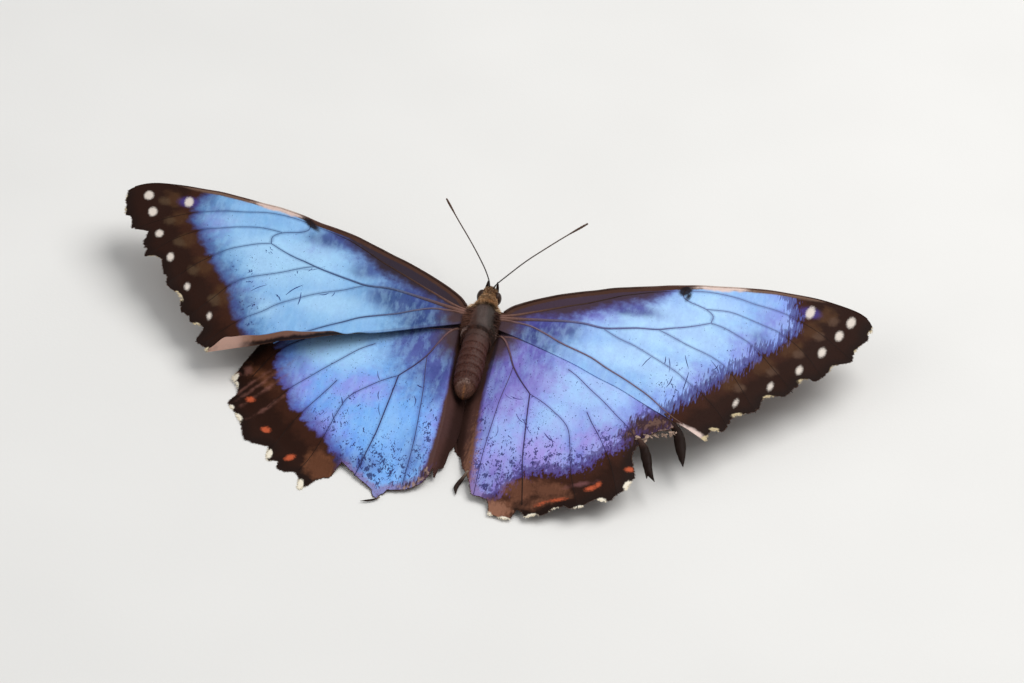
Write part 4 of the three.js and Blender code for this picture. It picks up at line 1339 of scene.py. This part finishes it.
STUMPS = {
    "vein_stump_inner": [
        ([(28.0, -24.6, 6.7), (29.2, -26.4, 6.3), (30.0, -28.6, 6.0), (30.6, -30.6, 5.7),
          (31.3, -32.1, 5.4), (32.1, -33.3, 5.2)], [0.3, 0.7, 0.92, 0.84, 0.55, 0.05]),
        ([(30.2, -29.8, 5.7), (30.5, -31.4, 5.4), (30.7, -32.9, 5.2)], [0.5, 0.42, 0.05])],
    "vein_stump_outer": [
        ([(31.7, -18.2, 7.9), (33.0, -19.6, 7.4), (34.3, -21.2, 6.9), (35.1, -23.2, 6.4),
          (35.6, -25.2, 6.0), (36.0, -26.8, 5.7), (36.4, -28.4, 5.4)],
         [0.25, 0.4, 0.8, 1.0, 0.95, 0.6, 0.05])],
}


def stumps(material):
    """The dark stumps of vein that stick out of the right hindwing's worn margin."""
    for name, prongs in STUMPS.items():
        made = Shape()
        for path, radii in prongs:
            path = through([(MIDDLE_X - HALF_BODY - u, -v, z) for u, v, z in path], 0.15)
            points, faces, along = tube(path, radii, 12)
            points[:, 2] += 0.12 * ripple(points[:, 0], points[:, 1] * 0.4, 0.5, 5) * np.sin(np.pi * along)
            made.add(points, faces, dark=1.0, rosy=0.3 * (1 - smooth(0, 0.35, along)), cream=0.0)
        made.piece(f"{name}_horn", [material], "vein", (name,))


# ------------------------------------------------------------------ the finishes
WING_SIZES = {  # mm; real scales are 0.1 mm wide and are drawn coarser, at fine
    "fine": (0.32, 0.32, 3, 2), "speck": (0.26, 0.5, 3, 2), "streak": (0.34, 2.2, 3, 3),
    "patch": (1.6, 1.6, 5, 4), "cloud": (6, 6, 9, 3), "powder": (0.5, 0.9, 3, 5),
    "dash": (0.5, 0.9, 3, 4), "drift": (3, 5, 9, 4), "blot": (1.3, 4, 9, 5)}

# In each row, pale is the colour of a painted highlight and lilac that of a painted sheen.
BLUES = {  # ground, pale, deep, outer, lilac, halo, front
    "forewing_left": ("#86b9e8", "#a8d4f6", "#2d437a", "#5686ba", "#8c98d8", "#454f98", "#33272b"),
    "forewing_right": ("#94c0f3", "#b4dcff", "#3a427e", "#8aa2ee", "#8c94de", "#5046a0", "#43323a"),
    "hindwing_left": ("#7ab4f8", "#a6d6ff", "#444e90", "#6492ec", "#989cee", "#5c4ca6", "#523426"),
    "hindwing_right": ("#8ea4ec", "#a8cefc", "#665fb0", "#7670ca", "#aa9ce6", "#64409a", "#5e3e2e"),
}
# The border's inner edge: its pattern, how far it breaks it, and how far the violet before it spreads.
EDGES = {"forewing_left": ("patch", 2.2, 3.0), "forewing_right": ("streak", 7.0, 7.0),
         "hindwing_left": ("patch", 2.8, 3.4), "hindwing_right": ("dash", 7.0, 6.0)}
HUES = {  # lighter brown, dull spots, rubbed patches, marks on the margin
    "forewing_left": ("#573a22", "#54402e", "#e2c6ba", "#dccbab"),
    "forewing_right": ("#5a3c24", "#5c4436", "#e8cfc4", "#cbb892"),
    "hindwing_left": ("#7e4e34", "#84584e", "#8a675c", "#f4ead6"),
    "hindwing_right": ("#865640", "#7c5050", "#986a54", "#f4ead6")}


def tinted(tree, colour, tint, amount):
    """Colour multiplied by a tint."""
    return add(tree, "ShaderNodeMix", {0: amount, 6: colour, 7: tint}, data_type="RGBA",
               blend_type="MULTIPLY").outputs[2]


def wing_top(key):
    """Rows of blue scales over a brown membrane, satin, with a metallic lift in soft light, and painted
    highlight, sheen and shade in its colour.
    """
    ground, pale, deep, outer, lilac, halo, front = BLUES[key]
    edge, ragged, spread = EDGES[key]
    warm, dull, rubbed, rim = HUES[key]
    fore = key.startswith("fore")
    left = key.endswith("left")
    # how strong the painted sheen's lilac drifts are
    sheen_drifts = 0.1 if left else 0.25
    if fore:
        specks = ("worn", 1.3, "speck", 6.0, 0.15, 0.85, "#2a2250")
        front_halo = ("front", -0.6, "patch", 4.0, 2.4, 0.9, halo)
        front_brown = ("front", 0.5, "patch", 2.6, 1.4, 0.97, front)
        rubbed_patch = ("pink", 0.0, "patch", 1.5, 0.45, 0.92, rubbed)
    else:
        specks = ("worn", 1.1, "speck", 6.0, 0.15, 0.85, "#252660")
        front_halo = ("front", -0.3, "patch", 0.8, 0.6, 0.6, halo)
        front_brown = ("front", 0.1, "patch", 0.6, 0.3, 0.97, front)
        rubbed_patch = ("pink", 0.0, "dash", 3.5, 0.7, 0.8, rubbed)
    rim_sheen = [] if fore else [("rim", 0.2, "dash", 2.4, 0.6, 0.7, "#8e74a2")]
    # painted shade: the hindwing's inner fold darkens where it runs in under the abdomen
    fold_shade = [] if fore else [("front", 1.8, "patch", 0.9, 0.7, 0.7, "#24140e")]
    # painted shade: a thin dark line along the left forewing's rear edge, over the hindwing
    rear_edge_shade = [("rear", 0.0, "fine", 0.3, 0.15, 0.3, "#4a4468")] if fore and left else []
    material, tree = new_material(f"blue_scales_{key}")
    noise = patterns(tree, WING_SIZES)
    colour = paint(tree, linear(ground), [
        # painted highlight: the blue pales where it catches the light most
        ("pale", 0.45, "cloud", 0.6, 0.4, 1.0, pale),
        ("border", -4.2, "patch", 4.0, 2.8, 0.85, outer),
        # painted sheen: the blue turns lilac in pools
        ("lilac", 0.45, "patch", 0.9, 0.45, 0.9, lilac),
        ("deep", 0.45, "cloud", 0.6, 0.4, 0.9, deep),
        ("root", -12.0, "patch", 7.0, 5.0, 0.97, deep),
        # painted sheen: lilac drifts and pale blots mottle the blue
        ("everywhere", 0.0, "drift", 9.0, 1.2, sheen_drifts, lilac),
        ("everywhere", 0.2, "blot", 9.0, 1.0, 0.25, pale),
        ("vein", 0.0, "fine", 0.3, 0.3, 0.4, deep),
        specks,
        *rim_sheen,
        ("border", -0.9, edge, spread, 1.6, 0.85, halo),
        ("border", -2.2, edge, ragged + 2.0, 1.5 if left else 0.4, 0.35 if left else 0.6, "#33265c"),
        front_halo,
        ("root", -4.2, "patch", 3.0, 2.2, 0.95, "#49342f"),
        front_brown,
        *fold_shade,
        ("costa", 0.0, "fine", 0.3, 0.15, 1.0, "#4a3026"),
        *rear_edge_shade,
        ("border", 0.0, edge, ragged, 0.9 if fore and left else 0.5, 1.0, "#3c1f13"),
        ("border", 2.4, "patch", 3.6, 1.2, 0.85, "#26120a"),
        ("margin", 0.0, "cloud", 1.4, 1.2, 0.85, "#1c0f0a"),
        ("light", 0.0, "patch", 3.0, 1.0, 0.75, warm),
        ("light", 0.3, "streak", 3.0, 0.5, 0.35, "#3c2015"),
        ("tan", 0.0, "patch", 0.9, 0.4, 0.8, "#806454"),
        ("wedge", 0.0, "fine", 0.3, 0.3, 0.97, "#1c1418"),
        ("dull", 0.0, "patch", 1.6, 0.5, 0.75, dull),
        ("orange", 0.0, "fine", 0.7, 0.3, 1.0, "#c05a38"),
        ("torn", -0.2, "streak", 6.0, 0.8, 0.75, "#4c3860"),
        ("torn", 0.5, "streak", 6.0, 0.5, 0.9, "#3c2620"),
        ("torn", 1.5, "dash", 6.0, 0.4, 0.6, "#7a5c50"),
        ("tatter", 0.3, "dash", 3.0, 0.3, 0.8, "#a08474"),
        rubbed_patch,
        ("glow", 0.45, "fine", 0.3, 0.3, 0.6, "#4c4296"),
        ("white", 0.08, "fine", 0.45, 0.28, 0.94, "#e4d8cc"),
        ("cream", 0.0, "fine", 0.4, 0.14, 1.0, rim),
    ], noise)
    powder = blend(tree, noise["powder"], linear("#b4b4b4"), linear("#ffffff"))
    colour = tinted(tree, colour, powder, 0.4)
    rough = add(tree, "ShaderNodeMapRange", {
        "Value": noise["fine"], "To Min": 0.48, "To Max": 0.68}).outputs[0]
    surface(tree, colour, rough, noise["fine"], 0.05, Metallic=0.05, Specular_IOR_Level=0.08)
    return material


def wing_under(kind):
    """The underside's coffee-brown scales with ringed eye spots, dry and matt."""
    material, tree = new_material(f"brown_scales_{kind}")
    noise = patterns(tree, WING_SIZES)
    colour = paint(tree, linear("#6b4a36"), [
        # lighter brown in the same pools as the top's painted highlight
        ("pale", 0.5, "cloud", 0.7, 0.5, 0.5, "#8a6a50"),
        ("deep", 0.5, "cloud", 0.7, 0.5, 0.6, "#4a3020"),
        ("root", -14.0, "patch", 6.0, 6.0, 0.7, "#3c2a20"),
        ("vein", 0.0, "fine", 0.2, 0.15, 0.7, "#3a261a"),
        ("border", 0.0, "streak", 1.2, 0.5, 0.6, "#4c3424"),
        ("ocellus", 0.0, "fine", 0.2, 0.1, 1.0, "#1f120c"),
        ("ocellus", 0.35, "fine", 0.2, 0.1, 1.0, "#c8963f"),
        ("ocellus", 0.85, "fine", 0.2, 0.1, 1.0, "#1c110c"),
        ("pupil", 0.0, "fine", 0.1, 0.1, 1.0, "#e8e4dc"),
        ("white", 0.0, "fine", 0.3, 0.1, 0.5, "#c8b08c"),
        ("cream", 0.0, "fine", 0.5, 0.2, 0.9, "#e2d2b4"),
        # The torn flap's underside: painted shade over its raised part, and a painted lit edge, tan, where
        # it stands highest.
        ("flap", 0.0, "patch", 0.5, 0.3, 0.95, "#2c1a12"),
        ("flap", 1.1, "patch", 1.6, 0.5, 0.95, "#b07c60"),
        # pink lining, partly a painted highlight
        ("lining", 0.3, "patch", 1.6, 1.0, 0.9, "#f0c2ae"),
    ], noise)
    surface(tree, colour, 0.75, noise["fine"], 0.05, Specular_IOR_Level=0.2)
    return material


VEIN_TINT = {"forewing_left": "#54719e", "forewing_right": "#767fb2", "hindwing_left": "#35396a",
             "hindwing_right": "#42386a", "stumps": "#160d0a"}


def vein_horn(key):
    """Wing veins: dry horn, dark brown towards the roots and edges, dusted blue in the middle."""
    material, tree = new_material(f"vein_horn_{key}")
    noise = patterns(tree, {"fine": (0.3, 0.3, 0.3, 2), "cloud": (3, 3, 3, 2)})
    dark = add(tree, "ShaderNodeAttribute", attribute_name="dark").outputs["Fac"]
    rosy = add(tree, "ShaderNodeAttribute", attribute_name="rosy").outputs["Fac"]
    colour = blend(tree, dark, linear(VEIN_TINT[key]), linear("#24150f"))
    colour = blend(tree, rosy, colour, linear("#8c665a"))
    cream = add(tree, "ShaderNodeAttribute", attribute_name="cream").outputs["Fac"]
    colour = blend(tree, cream, colour, linear("#e0c8ba"))
    speckle = blend(tree, noise["fine"], linear("#8f8f8f"), linear("#ffffff"))
    colour = tinted(tree, colour, speckle, 0.8)
    surface(tree, colour, 0.6, noise["fine"], 0.03, Specular_IOR_Level=0.1)
    return material


def fringe_scales(kind):
    """The fringe's long scales, dark brown with cream tufts, tanner on the forewings."""
    material, tree = new_material(f"fringe_scales_{kind}")
    noise = patterns(tree, {"fine": (0.3, 0.3, 0.3, 2)})
    cream = add(tree, "ShaderNodeAttribute", attribute_name="cream").outputs["Fac"]
    brown = blend(tree, noise["fine"], linear("#22130d"), linear("#54382a"))
    colour = blend(tree, cream, brown, linear("#cdbb98" if kind == "forewing" else "#ece0c8"))
    surface(tree, colour, 0.8, noise["fine"], 0.02, Specular_IOR_Level=0.1)
    return material


BODY_LAYERS = [
    ("trunk", 0.0, "cloud", 3.0, 1.5, 0.9, "#482a1e"),
    ("gold", 0.0, "cloud", 0.8, 0.5, 1.0, "#fad2a6"),
    ("face", 0.0, "patch", 0.8, 0.3, 0.4, "#7a4428"),
    ("gold", 5.1, "patch", 6.0, 0.5, 0.7, "#7c3a2a"),
    # painted highlight: pale flecks over the head's gold hair
    ("gold", 5.1, "fine", 6.0, 0.5, 0.7, "#ffe2bc"),
    # painted light on the thorax's left flank
    ("lit_flank", 0.0, "patch", 1.0, 0.6, 0.75, "#7a5242"),
    ("grey", 0.1, "patch", 0.9, 0.45, 0.9, "#574640"),
    # painted shade on the right half of the shield
    ("shaded_half", 0.0, "patch", 0.6, 0.45, 0.8, "#36291f"),
    # painted shade in the groove behind the shield
    ("groove_shade", 0.0, "patch", 0.6, 0.35, 0.7, "#2a1a12"),
    ("rings", 0.0, "patch", 0.9, 0.2, 0.2, "#24140f"),
    # painted highlight: a pale arc near the abdomen's tip
    ("ring_highlight", 0.0, "patch", 0.3, 0.16, 0.7, "#c4a89c"),
    # painted highlight on the tufts at the wing roots
    ("root_highlight", 0.0, "patch", 0.6, 0.3, 0.9, "#b0948a"),
    ("tip", 0.0, "patch", 0.9, 0.4, 0.7, "#8a6250"),
    # painted highlight along the middle of the abdomen's tip
    ("tip_highlight", 0.0, "patch", 0.3, 0.2, 0.9, "#b0764a"),
    ("below", 0.0, "cloud", 1.0, 0.8, 0.7, "#6a5344"),
]


def body_finish(name, ground, rough, depth, hair):
    """The body's brown, for its skin or for its hair, whose locks each have their own shade."""
    material, tree = new_material(name)
    noise = patterns(tree, {"fine": (0.2, 0.6, 0.2, 3), "patch": (0.7, 0.7, 0.7, 3),
                            "cloud": (2.5, 2.5, 2.5, 3)})
    colour = paint(tree, linear(ground), BODY_LAYERS, noise)
    shade = noise["fine"]
    if hair:
        shade = add(tree, "ShaderNodeAttribute", attribute_name="shade").outputs["Fac"]
    light = blend(tree, shade, linear("#827c76"), linear("#ffffff"))
    colour = tinted(tree, colour, light, 1.0)
    surface(tree, colour, rough, noise["fine"], depth, Specular_IOR_Level=0.15 if hair else 0.35)
    return material


def eye_lens():
    """A compound eye: glossy, nearly black brown, its facets too small to draw, so drawn coarser."""
    material, tree = new_material("eye_lens")
    place = add(tree, "ShaderNodeTexCoord").outputs["Object"]
    facets = add(tree, "ShaderNodeTexVoronoi", {
        "Vector": place, "Scale": 1 / (0.1 * MM)}).outputs["Distance"]
    noise = patterns(tree, {"cloud": (1.2, 1.2, 1.2, 2)})
    colour = blend(tree, noise["cloud"], linear("#180e09"), linear("#3e2517"))
    surface(tree, colour, 0.35, facets, 0.02, Specular_IOR_Level=0.22)
    return material


def horn():
    """Feelers, legs and tongue: polished dark horn, browner towards the ends."""
    material, tree = new_material("dark_horn")
    noise = patterns(tree, {"fine": (0.15, 0.15, 0.15, 3)})
    along = add(tree, "ShaderNodeAttribute", attribute_name="along").outputs["Fac"]
    colour = blend(tree, along, linear("#241712"), linear("#5a3a26"))
    light = blend(tree, noise["fine"], linear("#707070"), linear("#ffffff"))
    colour = tinted(tree, colour, light, 0.8)
    surface(tree, colour, 0.42, noise["fine"], 0.02, Specular_IOR_Level=0.3)
    return material


def floor_paper():
    """The studio floor: matt off-white paper with a faint tooth."""
    material, tree = new_material("studio_paper")
    noise = patterns(tree, {"fine": (0.6, 0.6, 0.6, 2), "cloud": (60, 60, 60, 2)})
    colour = blend(tree, noise["cloud"], linear("#dcdad6"), linear("#e6e4e0"))
    surface(tree, colour, 0.9, noise["fine"], 0.02)
    return material


SCRAPE_TINT = {"forewing_left": "#41598f", "forewing_right": "#2c2a58", "hindwing_left": "#231c44",
               "hindwing_right": "#231c44"}


def scrape(key):
    """Bare membrane showing in a scratch: dull blue-brown."""
    material, tree = new_material(f"scraped_membrane_{key}")
    noise = patterns(tree, {"fine": (0.5, 0.5, 0.5, 2)})
    colour = blend(tree, noise["fine"], linear(SCRAPE_TINT[key]), linear(BLUES[key][2]))
    surface(tree, colour, 0.7, noise["fine"], 0.02, Specular_IOR_Level=0.2)
    return material


def torn_membrane():
    """Dry torn wing membrane, tan and brown, papery."""
    material, tree = new_material("torn_membrane")
    noise = patterns(tree, {"fine": (0.3, 0.3, 0.3, 3)})
    shade = add(tree, "ShaderNodeAttribute", attribute_name="shade").outputs["Fac"]
    colour = blend(tree, shade, linear("#33221a"), linear("#c4a692"))
    light = blend(tree, noise["fine"], linear("#606060"), linear("#ffffff"))
    colour = tinted(tree, colour, light, 0.8)
    surface(tree, colour, 0.8, noise["fine"], 0.04, Specular_IOR_Level=0.2)
    return material


# ------------------------------------------------------------------ building it
rng = np.random.default_rng(7)
for wing_kind in ("forewing", "hindwing"):
    brown = wing_under(wing_kind)
    for wing_side in SIDES:
        rim = wing_sheet(wing_kind, wing_side, [wing_top(f"{wing_kind}_{wing_side}"), brown])
        wing_veins(wing_kind, wing_side, vein_horn(f"{wing_kind}_{wing_side}"))
        fringe(wing_kind, wing_side, rim, [fringe_scales(wing_kind)], rng)
        scratches(wing_kind, wing_side, scrape(f"{wing_kind}_{wing_side}"), rng)
shreds(torn_membrane(), rng)

body_skin(body_finish("body_skin", "#583024", 0.6, 0.08, False))
hair_brown = body_finish("body_hair", "#5c3024", 0.6, 0.02, True)
fur("head_fur_tufts", 5200, (-6.1, -2.9), 0.65, 0.1, 0.5, hair_brown, rng, "head_fur",
    keep=off_the_eyes)
fur("ruff_tufts", 5200, (-3.5, 0.3), 1.05, 0.1, 0.42, hair_brown, rng, "head_fur")
fur("thorax_fur_tufts", 9000, (-0.4, 10.4), 0.65, 0.1, 0.9, hair_brown, rng, "body_fur",
    keep=off_the_shield)
fur("abdomen_fur_tufts", 11000, (10.0, 19.7), 0.5, 0.09, 0.75, hair_brown, rng, "body_fur")
shoulders(2600, hair_brown, rng)
eyes(eye_lens())
dark_horn = horn()
feelers(dark_horn)
for limb_side in SIDES:
    legs(limb_side, dark_horn)
    palp(limb_side, hair_brown)
tongue(dark_horn)
stumps(vein_horn("stumps"))

# ------------------------------------------------------------------ the studio
scene = bpy.context.scene
bpy.ops.mesh.primitive_plane_add(size=4, location=(0, 0, 0))
floor = bpy.context.object
floor.name = "studio_floor"
floor.data.materials.append(floor_paper())

world = bpy.data.worlds.new("soft_room")
scene.world = world
world.use_nodes = True
world.node_tree.nodes["Background"].inputs[0].default_value = (0.93, 0.96, 1.0, 1.0)
world.node_tree.nodes["Background"].inputs[1].default_value = 0.4


def softbox(name, place, size, watts, aim=(0, 0, 0.005)):
    lamp = bpy.data.lights.new(name, "AREA")
    lamp.size = size
    lamp.energy = watts
    box = bpy.data.objects.new(name, lamp)
    box.location = place
    scene.collection.objects.link(box)
    box.rotation_euler = (Vector(aim) - Vector(place)).to_track_quat("-Z", "Y").to_euler()
    return box


softbox("key_light", (-0.25, -0.15, 0.55), 0.5, 3.4)
softbox("fill_light", (0.45, 0.35, 0.4), 0.5, 1.1)

# The camera looks down from behind the body, turned a little on its own axis.
ELEVATION, AZIMUTH, ROLL = np.radians([38.0243, 184.9298, 7.2555])
CAMERA_PLACE = np.array([-40.3916, 390.2216, 318.1178]) * MM
away = np.array([np.sin(AZIMUTH) * np.cos(ELEVATION), -np.cos(AZIMUTH) * np.cos(ELEVATION),
                 np.sin(ELEVATION)])
level = np.cross([0, 0, 1.0], away)
level /= np.linalg.norm(level)
over = np.cross(away, level)
right_way = np.cos(ROLL) * level + np.sin(ROLL) * over
up_way = -np.sin(ROLL) * level + np.cos(ROLL) * over
camera_data = bpy.data.cameras.new("camera")
camera_data.lens = 100
camera_data.sensor_width = 36
camera_data.clip_end = 10
camera = bpy.data.objects.new("camera", camera_data)
axes = np.stack([right_way, up_way, away], 1)
camera.matrix_world = Matrix([[*row, p] for row, p in zip(axes, CAMERA_PLACE)] + [[0, 0, 0, 1]])
scene.collection.objects.link(camera)
scene.camera = camera
scene.view_settings.view_transform = "Standard"
